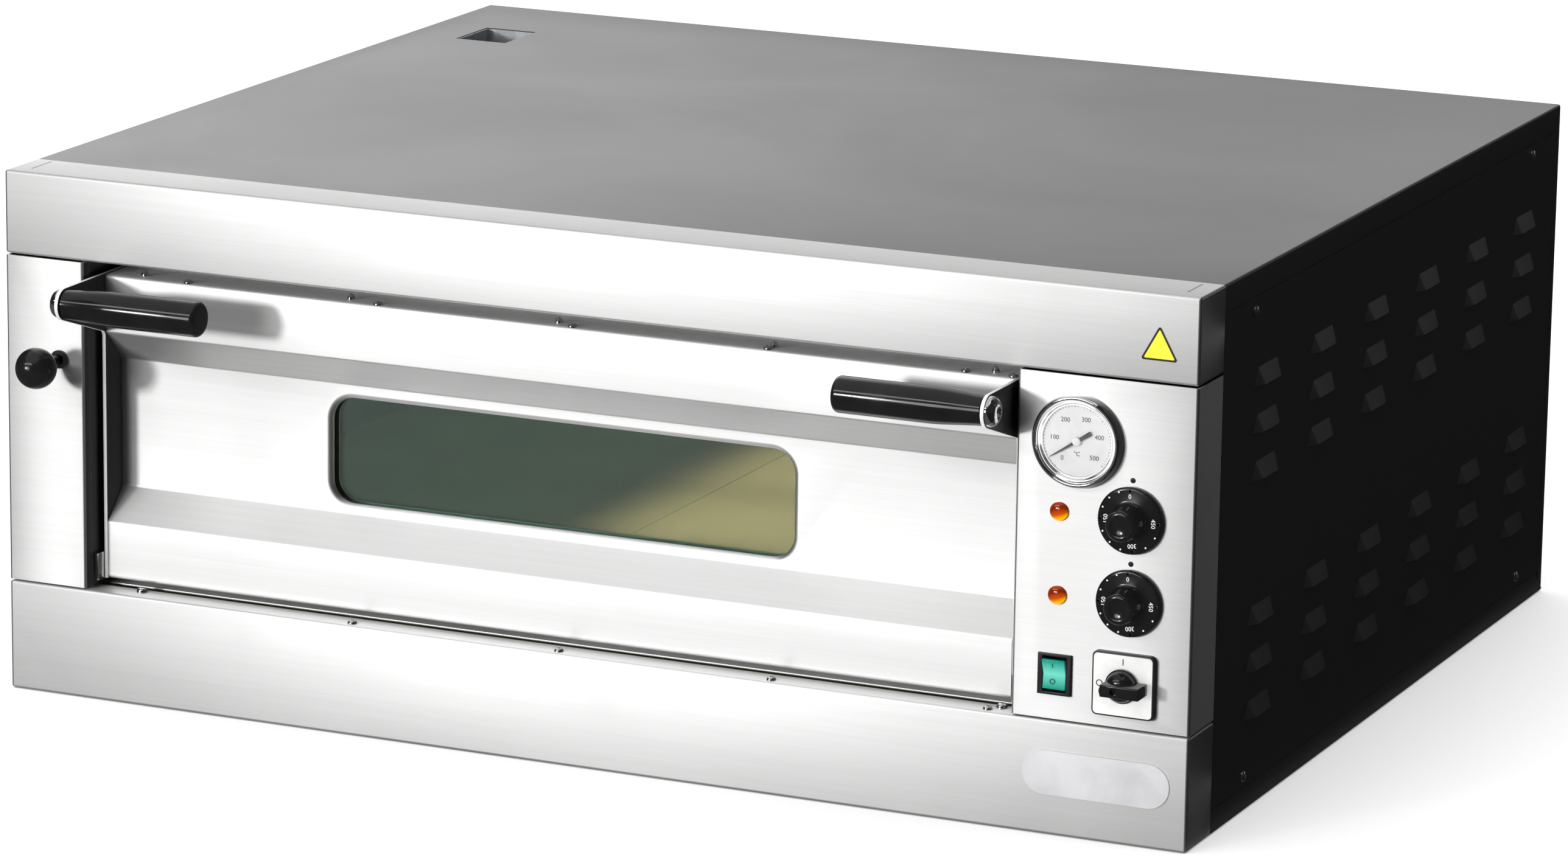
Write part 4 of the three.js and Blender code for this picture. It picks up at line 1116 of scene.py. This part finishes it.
print("grips, screws and pins: 6")

# %% [markdown]
# ### Damper
# The damper's rod carries a ball knob in front and a plate inside the flue.

# %% Ball knob, rod and plate
ball_low, ball_high = span("damper_knob")
ball_r, neck = (ball_high[0] - ball_low[0]) / 2, ball_high[1]
ball_profile = [*arc_points(0, ball_low[1] + ball_r, ball_r, -90, 60, 25), (6.3, neck - 2.4),
                (6.0, neck - 0.6), (5.4, neck), (0, neck)]
settle(turned("damper_ball", ball_profile, "y", damper, bakelite, degrees=50), "damper", "bakelite",
       "damper_knob")

slide_low, slide_high = span("damper_slide")
ROD = 4
ROD_BACK, TONGUE_FRONT, PLATE_FRONT = 620, 560, 598
plate_z = (damper[1] - 1.75, damper[1] - 0.25)
rod_profile = [(0, slide_low[1]), (ROD, slide_low[1]), (ROD, ROD_BACK), (0, ROD_BACK)]
rod = turned("damper_rod", rod_profile, "y", damper, black_steel)
tongue = box_shape(damper[0] - 6, slide_high[0], TONGUE_FRONT, PLATE_FRONT + 2, *plate_z)
plate = box_shape(flue_low[0] + 2.1, slide_high[0], PLATE_FRONT, slide_high[1], *plate_z)
join_into(rod, piece_from(tongue, "tongue"), piece_from(plate, "plate"))
settle(rod, "damper", "galvanised", "damper_slide")
collar_profile = [(4.3, -0.2), (6.6, -0.2), (7.2, -0.8), (7.2, -2.2), (6.6, -2.8), (4.3, -2.8)]
settle(turned("damper_collar", collar_profile, "y", damper, black_plastic), "casing", "black_plastic")

# %% [markdown]
# ### Thermometer
# A round dial behind a stepped chrome bezel. The case is one turned piece, the face a thin disc, and
# the scale is printed on it: ticks repeated along an arc by Geometry Nodes, and numerals as text.

# %% Case, face, needle and glass
case_profile = [
    (0, 24), (29.4, 24), (29.4, -0.3), (34.75, -0.3), (34.75, -2.8), (34.5, -4.6), (33.8, -6.6), (32.9, -7.8),
    (31.9, -8.0), (31.2, -7.5), (31.0, -5.3), (30.4, -4.8), (29.6, -5.0), (28.9, -5.3), (28.3, -5.0),
    (27.8, -3.9), (27.2, -3.6), (26.6, -3.7), (26.2, -3.2), (26.1, -2.0), (0, -2.0)]
settle(turned("thermometer_bezel", case_profile, "y", dial, chrome, degrees=50), "casing", "chrome",
       "thermometer_case")
face_profile = [(0, -2.1), (26.05, -2.1), (26.05, -2.7), (0, -2.7)]
settle(turned("thermometer_face", face_profile, "y", dial, dial_face), "casing", "grey_plastic")

NEEDLE_ANGLE = math.radians(213)
needle_line = [(-13, -1.7), (-13, 1.7), (0, 1.2), (24, 0.3), (24, -0.3), (0, -1.2)]
needle_outline = [(dial[0] + x * math.cos(NEEDLE_ANGLE) - z * math.sin(NEEDLE_ANGLE),
                   dial[1] + x * math.sin(NEEDLE_ANGLE) + z * math.cos(NEEDLE_ANGLE)) for x, z in needle_line]
settle(piece_from(prism_shape("y", needle_outline, -4.4, -3.9), "needle_blade", black_plastic),
       "needle", "black_plastic", "thermometer_needle")
hub_profile = [(0, -5.2), (2.4, -5.2), (3.1, -4.8), (3.4, -4.1), (3.4, -3.2), (0, -3.2)]
settle(turned("needle_hub", hub_profile, "y", dial, grey_plastic), "needle", "grey_plastic")
glass_profile = [(0, -7.1), (30.4, -7.1), (30.7, -6.8), (30.7, -5.6), (0, -5.6)]
settle(turned("thermometer_window", glass_profile, "y", dial, clear_glass), "casing", "glass",
       "thermometer_glass")


# %% [markdown]
# A scale is one mark repeated along an arc. The tree takes the mark, the radius, the count and the
# angles; every copy turns with the arc, so bars point outwards. Angles run from +X towards +Z as seen
# from the front.

# %% Marks along an arc
def marks_tree():
    tree, given = geometry_tree("marks on an arc", Mark="Object", Radius="Float", Count="Int", Start="Float",
                                Sweep="Float", Centre="Vector")
    arc = add(tree, "GeometryNodeCurveArc", {"Resolution": given["Count"], "Radius": given["Radius"],
              "Start Angle": given["Start"], "Sweep Angle": given["Sweep"]}, mode="RADIUS").outputs[0]
    turn = turned_to(tree, add(tree, "GeometryNodeInputTangent").outputs[0], "Y")
    place = {"Geometry": copied(tree, given["Mark"], arc, turn), "Translation": given["Centre"],
             "Rotation": (math.pi / 2, 0, 0)}
    return handed_out(tree, given, add(tree, "GeometryNodeTransform", place).outputs[0])


scale_marks = marks_tree()


def bar_mark(length, width, thick=0.12):
    """A bar along +X that starts at the arc and runs inwards, lying in the XY plane."""
    shape = bmesh.new()
    bmesh.ops.create_cube(shape, size=1)
    size = Matrix.Diagonal((length * MM, width * MM, thick * MM, 1))
    bmesh.ops.transform(shape, matrix=size, verts=shape.verts)
    bmesh.ops.translate(shape, vec=(-length / 2 * MM, 0, 0), verts=shape.verts)
    return piece_from(shape, "mark")


def dot_mark(radius, thick=0.16):
    shape = bmesh.new()
    bmesh.ops.create_cone(shape, cap_ends=True, segments=16, radius1=radius * MM, radius2=radius * MM,
                          depth=thick * MM)
    return piece_from(shape, "mark")


def marks(mark, radius, count, start, sweep, centre, material):
    holder = grown(points_object("marks", [(0, 0, 0)]), scale_marks, Mark=mark, Radius=radius * MM,
                   Count=count, Start=math.radians(start), Sweep=math.radians(sweep),
                   Centre=tuple(at(*centre)), Material=material)
    bpy.data.objects.remove(mark)
    return holder


# %% [markdown]
# Numerals are Blender text, turned into a mesh and stood up on the face they are printed on.

# %% Printing helper
TEXT_THICK = 0.06
CAPITALS = 0.7  # height of a numeral in parts of the text size


def printed(name, text, height, centre, material, turn=0.0):
    curve = bpy.data.curves.new(name, "FONT")
    curve.body = text
    curve.size = height / CAPITALS * MM
    curve.align_x = curve.align_y = "CENTER"
    curve.extrude = TEXT_THICK * MM
    curve.resolution_u = 3
    source = new_object(name, curve)
    mesh = bpy.data.meshes.new_from_object(source.evaluated_get(bpy.context.evaluated_depsgraph_get()))
    bpy.data.objects.remove(source)
    stand = Matrix.Rotation(math.radians(-turn), 4, "Y") @ Matrix.Rotation(math.pi / 2, 4, "X")
    mesh.transform(Matrix.Translation(at(*centre)) @ stand)
    mesh.materials.clear()
    mesh.materials.append(material)
    return new_object(name, mesh)


def print_set(name, prints, body, slot):
    """Joins prints into one piece of this name."""
    piece = join_into(*prints)
    piece.name = piece.data.name = name
    return settle(piece, body, slot)


def on_circle(centre, radius, degrees, y):
    angle = math.radians(degrees)
    return centre[0] + radius * math.cos(angle), y, centre[1] + radius * math.sin(angle)


# %% Thermometer scale
FACE_Y = -2.78
SCALE_START, SCALE_SWEEP = 230, -270  # angle of the first mark, and from there to the last
SCALE_RADIUS, NUMERAL_RADIUS = 25.2, 17.6
face_centre = (dial[0], FACE_Y, dial[1])
dial_prints = [
    marks(bar_mark(length, width), SCALE_RADIUS, count, SCALE_START, SCALE_SWEEP, face_centre, black_print)
    for length, width, count in ((3.0, 0.45, 11), (1.8, 0.25, 51))]
for i in range(6):
    spot = on_circle(dial, NUMERAL_RADIUS, SCALE_START + SCALE_SWEEP * i / 5, FACE_Y)
    dial_prints.append(printed("numeral", str(100 * i), 3.4, spot, black_print))
dial_prints.append(printed("unit", "°C", 3.2, (dial[0], FACE_Y, dial[1] - 9.5), black_print))
dial_print = print_set("thermometer_scale", dial_prints, "casing", "black_plastic")
print("thermometer scale faces:", len(dial_print.data.polygons))


# %% [markdown]
# ### Thermostat knobs
# A flat skirt with a printed scale, and a tall round grip. Dots of two sizes run round the skirt, and
# the numerals read outwards. All of it turns with the knob.

# %% Knobs
KNOB_PROFILE = [
    (0, -2.3), (24.6, -2.3), (25, -2.8), (25, -3.8), (24.6, -4.6), (23.9, -5.1), (23.0, -5.3), (15, -5.5),
    (13.6, -5.9), (12.9, -6.8), (12.5, -8.2), *arc_points(8.9, -22.4, 2.6, 0, -90, 6), (7.4, -25),
    (6.9, -24.6), (0, -24.5)]
SKIRT_Y = -5.42
LARGE_DOT, SMALL_DOT, DOT_RADIUS, VALUE_RADIUS = 1.1, 0.65, 22.4, 18.2
NUMBERS = ((0, 90), (150, 180), (300, 278), (450, 0))  # printed value and where it stands on the skirt
SMALL_DOTS = ((3, 90, 180), (3, 180, 278), (2, 278, 360))  # how many stand between two large ones
for level, centre in knobs.items():
    body = level + "_thermostat_knob"
    settle(turned("knob_" + level, KNOB_PROFILE, "y", centre, bakelite, degrees=40), body, "bakelite",
           "thermostat_knob_" + level)
    skirt = (centre[0], SKIRT_Y, centre[1])
    prints = []
    for value, angle in NUMBERS:
        spot = on_circle(centre, VALUE_RADIUS, angle, SKIRT_Y - 0.08)
        prints.append(printed("value", str(value), 3.3, spot, white_print, angle - 90))
        prints.append(marks(dot_mark(LARGE_DOT), DOT_RADIUS, 2, angle, 0.01, skirt, white_print))
    for count, start, end in SMALL_DOTS:
        gap = (end - start) / (count + 1)
        prints.append(marks(dot_mark(SMALL_DOT), DOT_RADIUS, count, start + gap, end - start - 2 * gap, skirt,
                            white_print))
    print_set("knob_scale_" + level, prints, body, "grey_plastic")
print("thermostat knobs:", len(knobs))

# %% [markdown]
# ### Lamps and switches
# The signal lamps are domed amber lenses. The rocker has a green key in a dark frame, and the main
# switch a pale square plate with a dark border, a round boss and a bar-shaped handle.

# %% Signal lamps
lamp_profile = [*arc_points(0, -1.3, 7, -90, 0, 10, 3.2), (7, -0.3), (5.2, -0.3), (5.2, 26), (0, 26)]
for level, centre in lamps.items():
    settle(turned("lamp_" + level, lamp_profile, "y", centre, amber_lens), "casing", "amber_lens",
           "signal_lamp_" + level)

# %% Rocker switch
settle(softened("rocker_frame", "rocker_rim", black_plastic, 0.6, 3), "casing", "black_plastic",
       "rocker_frame")
settle(softened("rocker_key", "rocker_button", green_lens, 0.5, 3), "rocker", "green_lens", "rocker_key")
key_front = span("rocker_key")[0][1]
on_mark = printed("rocker_marks", "I", 4.2, (rocker_x - 0.5, key_front + 0.9, rocker_z + 7.2), deep_green)
off_mark = printed("off", "O", 4.2, (rocker_x - 1, key_front + 2.9, rocker_z - 5.6), deep_green)
settle(join_into(on_mark, off_mark), "rocker", "grey_plastic")


# %% Main switch
def eased_prism(outline, front_y, back_y, rim, segments=3):
    """A plate or bar towards the front, its front rim eased."""
    shape = prism_shape("y", outline, front_y, back_y)
    edges = [e for e in shape.edges if all(abs(v.co.y - at(0, front_y, 0).y) < 1e-6 for v in e.verts)]
    ease(shape, edges, rim, segments)
    return shape


SWITCH_SIDE, SWITCH_BORDER = 48, 1.3
face_side = SWITCH_SIDE - 2 * SWITCH_BORDER
surround = piece_from(eased_prism(rounded_outline(*switch, SWITCH_SIDE, SWITCH_SIDE, 4), -5, -0.3, 0.8),
                      "switch_surround", black_plastic)
boss = turned("boss", [(0, -1), (11.5, -1), (11.5, 8), (0, 8)], "y", switch, black_plastic)
housing = piece_from(box_shape(switch_x - 20, switch_x + 20, 3, 46, switch_z - 22, switch_z + 22), "housing")
settle(join_into(surround, boss, housing), "casing", "grey_plastic", "main_switch")
settle(piece_from(eased_prism(rounded_outline(*switch, face_side, face_side, 3), -5.2, -4.6, 0.15),
                  "switch_face", grey_plastic), "casing", "grey_plastic")
on_mark = printed("switch_marks", "I", 5, (switch_x, -5.26, switch_z + 17.5), black_print)
off_mark = printed("off", "O", 5, (switch_x - 18, -5.26, switch_z), black_print)
settle(join_into(on_mark, off_mark), "casing", "black_plastic")

DISC_PROFILE = [(0, -5.4), (12.6, -5.4), (12.8, -6.2), (12.8, -7.8), (11.9, -8.4), (11.7, -9.4),
                (10.8, -12.6), (8.6, -15.2), (5.2, -16.8), (0, -17.3)]
BAR_FRONT, BAR_BACK, BAR_HALF = -24.8, -8, 4.5
disc = turned("turn_disc", DISC_PROFILE, "y", switch, bakelite, degrees=50)
left, right, foot, top = switch_x - 11.3, switch_x + 20, switch_z - BAR_HALF, switch_z + BAR_HALF
bar_outline = [(left, switch_z), (left + 1.2, top), (right - 0.8, top), (right, top - 0.8),
               (right, foot + 0.8), (right - 0.8, foot), (left + 1.2, foot)]
bar = cut_away(piece_from(eased_prism(bar_outline, BAR_FRONT, BAR_BACK, 0.9, 4), "bar"),
               round_hole(switch, 2.6, BAR_FRONT - 1, BAR_FRONT + 3))
settle(join_into(disc, bar), "main_switch_handle", "black_plastic", "main_switch_handle")
smooth_by_angle(disc.data, 40)
print("switches done")


# %% [markdown]
# ### Rear gland, badge and label
# The cable gland is a turned nut on a flange. The badge and the triangular label are left blank.

# %% Gland
gland_front, gland_back = (point[1] for point in span("cable_gland"))
flange_y = rear_high[1] + 0.3
gland_profile = [
    (7.5, gland_front), (12.2, gland_front), (12.2, flange_y), (15.9, flange_y), (16.4, flange_y + 0.6),
    (16.4, flange_y + 3), (13.6, flange_y + 3.2), (13.6, flange_y + 12.6), (14, flange_y + 13.2),
    (13.4, gland_back - 7), (12, gland_back - 2.6), (10.4, gland_back), (7.5, gland_back)]
settle(turned("gland_nut", gland_profile, "y", gland, cable_black, degrees=50), "casing", "black_plastic",
       "cable_gland")

# %% Badge and label
BADGE_X, BADGE_Z, BADGE_W, BADGE_H = 418.5, 47, 115, 34
badge_outline = rounded_outline(BADGE_X, BADGE_Z, BADGE_W, BADGE_H, BADGE_H / 2 - 0.1)
settle(piece_from(eased_prism(badge_outline, -1.3, -0.05, 0.6), "badge", grey_print),
       "casing", "grey_plastic")

LABEL_X = 459
for name, half, foot, top, radius, near, far, finish, slot in (
        ("label_border", 14.5, 363, 389, 1.5, -0.14, -0.04, black_print, "black_plastic"),
        ("label_triangle", 11.9, 364.5, 385.9, 0.6, -0.22, -0.1, yellow_film, "grey_plastic")):
    corners = [(LABEL_X - half, foot), (LABEL_X + half, foot), (LABEL_X, top)]
    outline = filleted([corners[-1], *corners, corners[0]], radius)[1:-1]
    settle(piece_from(prism_shape("y", outline, near, far), name, finish), "casing", slot)


# %% [markdown]
# ### Screws
# Identical screw heads are copies of one head on a set of points. Each point carries the direction it
# faces as an attribute; the tree reads it, turns the copy to face that way, and realizes the copies.

# %% Heads on points
def heads_tree():
    tree, given = geometry_tree("heads on points", Geometry="Geometry", Head="Object")
    facing = add(tree, "GeometryNodeInputNamedAttribute", {"Name": "facing"}, data_type="FLOAT_VECTOR")
    turn = turned_to(tree, facing.outputs["Attribute"], "Z")
    return handed_out(tree, given, copied(tree, given["Head"], given["Geometry"], turn))


screw_heads = heads_tree()


def head_object(radius, height, socket, flat=0.35, steps=24):
    """A domed head on the XY plane, facing +Z, with a round socket."""
    profile = [(radius * 0.97, -0.3), (radius, 0.15 * height),
               *arc_points(radius * flat, 0, radius * (1 - flat), 0, 90, 6, height)[1:],
               (socket, height), (socket * 0.92, 0.55 * height)]
    shape = bmesh.new()
    angles = [2 * math.pi * i / steps for i in range(steps)]
    rings = [[shape.verts.new(Vector((r * math.cos(t), r * math.sin(t), z)) * MM) for t in angles]
             for r, z in profile]
    shape.faces.new(rings[0][::-1])
    shape.faces.new(rings[-1])
    return piece_from(bridge(shape, rings), "head", degrees=40)


def screws(name, body, head, spots, material, slot):
    """Heads at (point, facing) pairs, joined into one piece."""
    cloud = points_object(name, [at(*point) for point, _ in spots])
    facing = cloud.data.attributes.new("facing", "FLOAT_VECTOR", "POINT")
    for i, (_, direction) in enumerate(spots):
        facing.data[i].vector = direction
    return settle(grown(cloud, screw_heads, Head=head, Material=material), body, slot)


def screw_row(y, z, *places):
    """Places along x on a level face."""
    return [((x, y, z), (0, 0, 1)) for x in places]


button_head = head_object(3.75, 2.4, 1.6)
dome_head = head_object(3.25, 4.6, 1.2, 0.2)
stop_head = head_object(4.4, 3.6, 1.7, 0.3)
side_head = head_object(4.2, 2.2, 1.6)
marker_head = head_object(2.0, 1.0, 0.9)
side_spots = [((side * cover_high[0], y, z), (side, 0, 0)) for side in (-1, 1)
              for y, z in ((113, 380), (758, 382), (115, 28), (757, 29))]
rear_spots = [((x, rear_high[1], z), (0, 1, 0)) for z in (40, 200, 370) for x in (-440, -150, 150, 460)]

screws("shelf_screws", "casing", button_head, screw_row(7, shelf_z, -193.5, -18.5, 156.5, 330), screw_steel,
       "chrome")
screws("door_stops", "casing", stop_head, screw_row(15, shelf_z, -381, 338), chrome, "chrome")
screws("door_screws_front", "door", button_head,
       screw_row(front + 3.5, skin_top, -343, -180, -17, 143, 300.5, 338), screw_steel, "chrome")
screws("door_screws_back", "door", dome_head,
       screw_row(front + 9.5, skin_top, -384, -206, -31, 145, 321.5), chrome, "chrome")
screws("side_screws", "casing", side_head, side_spots, screw_steel, "chrome")
screws("rear_screws", "casing", side_head, rear_spots, screw_steel, "chrome")
screws("marker_screws", "casing", marker_head, [((knob_x, 0, z), (0, -1, 0)) for z in (273, 211)],
       black_plastic, "black_plastic")
for head in (button_head, dome_head, stop_head, side_head, marker_head):
    bpy.data.objects.remove(head)
print("screw sets: 7")

# %% [markdown]
# ### Inside the oven
# The heating elements are long rods bent to and fro, and the door's seal is a rope round the chamber's
# mouth. The elements follow a path, so Geometry Nodes sweep a circle along it; the flattened rope is
# lofted round a rounded outline with the ring helper.


# %% Tube along a path
def tube_tree():
    tree, given = geometry_tree("tube along a path", Geometry="Geometry", Radius="Float", Sides="Int")
    path = add(tree, "GeometryNodeMeshToCurve", {0: given["Geometry"]}).outputs[0]
    circle = {"Radius": given["Radius"], "Resolution": given["Sides"]}
    section = add(tree, "GeometryNodeCurvePrimitiveCircle", circle, mode="RADIUS").outputs[0]
    sweep = add(tree, "GeometryNodeCurveToMesh", {"Curve": path, "Profile Curve": section, "Fill Caps": True})
    smooth = add(tree, "GeometryNodeSetShadeSmooth", {"Geometry": sweep.outputs[0]})
    return handed_out(tree, given, smooth.outputs[0])


# %% Heating elements
WALL_GAP = 50  # from the chamber's side to a bend
tubes = tube_tree()
chamber_left = span("chamber_side_left")[0][0] + SHEET
chamber_right = span("chamber_side_right")[1][0] - SHEET
for level in ("upper", "lower"):
    low, high = span(level + "_element")
    radius, z = (high[2] - low[2]) / 2, (low[2] + high[2]) / 2
    first, last = low[1] + radius, high[1] - radius
    step = (last - first) / 3
    bend = step / 2
    left, right = chamber_left + WALL_GAP + bend, chamber_right - WALL_GAP - bend
    path = [(high[0], first)]
    for k, (x, side) in enumerate(((left, -1), (right, 1), (left, -1))):
        path += arc_points(x, first + (k + 0.5) * step, side * bend, -90, 90, 20, bend)
    path.append((high[0], last))
    edges = [(i, i + 1) for i in range(len(path) - 1)]
    rod = points_object("element_" + level, [at(x, y, z) for x, y in path], edges)
    grown(rod, tubes, Radius=radius * MM, Sides=20, Material=element_sheath)
    settle(rod, "casing", "element_sheath", level + "_element")

# %% Seal rope and lamp glass
(seal_left, seal_front, seal_foot), (seal_right, seal_back, seal_top) = span("mouth_seal")
seal = front_place("mouth_seal")
ROPE_WIDTH, SEAL_RADIUS = 3.4, 14


def seal_outline(grow):
    return rounded_outline(*seal, seal_right - seal_left + 2 * grow, seal_top - seal_foot + 2 * grow,
                           SEAL_RADIUS + grow, steps=10)


rope_section = arc_points(-3.5, (seal_front + seal_back) / 2, ROPE_WIDTH, 0, 330, 11,
                          (seal_back - seal_front) / 2)
rope = piece_from(lofted_ring(rope_section, seal_outline), "seal_round_mouth", seal_rope, degrees=80)
settle(rope, "casing", "seal", "mouth_seal")

(glass_tip, _, glass_foot), (glass_base, _, glass_top) = span("chamber_lamp_glass")
lamp_r, rim_x = (glass_top - glass_foot) / 2, glass_base - 6
bulb_profile = [*arc_points(0, rim_x, lamp_r, -90, 0, 10, rim_x - glass_tip), (lamp_r, glass_base),
                (0, glass_base)]
bulb_glass = turned("oven_lamp_glass", bulb_profile, "x", middle("chamber_lamp_glass")[1:], clear_glass)
settle(bulb_glass, "casing", "glass", "chamber_lamp_glass")

# %% [markdown]
# ### What stays as CAD
# Flat sheets, blankets, stones and blocks keep their CAD mesh, which is already exact. Each gets the
# procedural material of what it is made of.

# %% Materials of the CAD pieces
kept = {
    chamber_steel: ("chamber_side_left", "chamber_side_right", "chamber_roof", "chamber_back", "floor_pan",
                    "stone_support"),
    steel_along: ("door_inner_panel",),
    fireclay: ("baking_stone_left", "baking_stone_right"),
    mineral_wool: ("wool_blanket", "wool_bottom", "wool_left", "wool_right", "door_wool"),
    galvanised: ("flue_duct", "thermostat_upper", "thermostat_lower"),
    window_glass: ("window_pane_outer", "window_pane_inner"),
    grey_plastic: ("contactor", "terminal_block"),
}
for material, names in kept.items():
    for name in names:
        nodes[name].data.materials.clear()
        nodes[name].data.materials.append(material)
print("CAD pieces kept:", sum(len(names) for names in kept.values()))
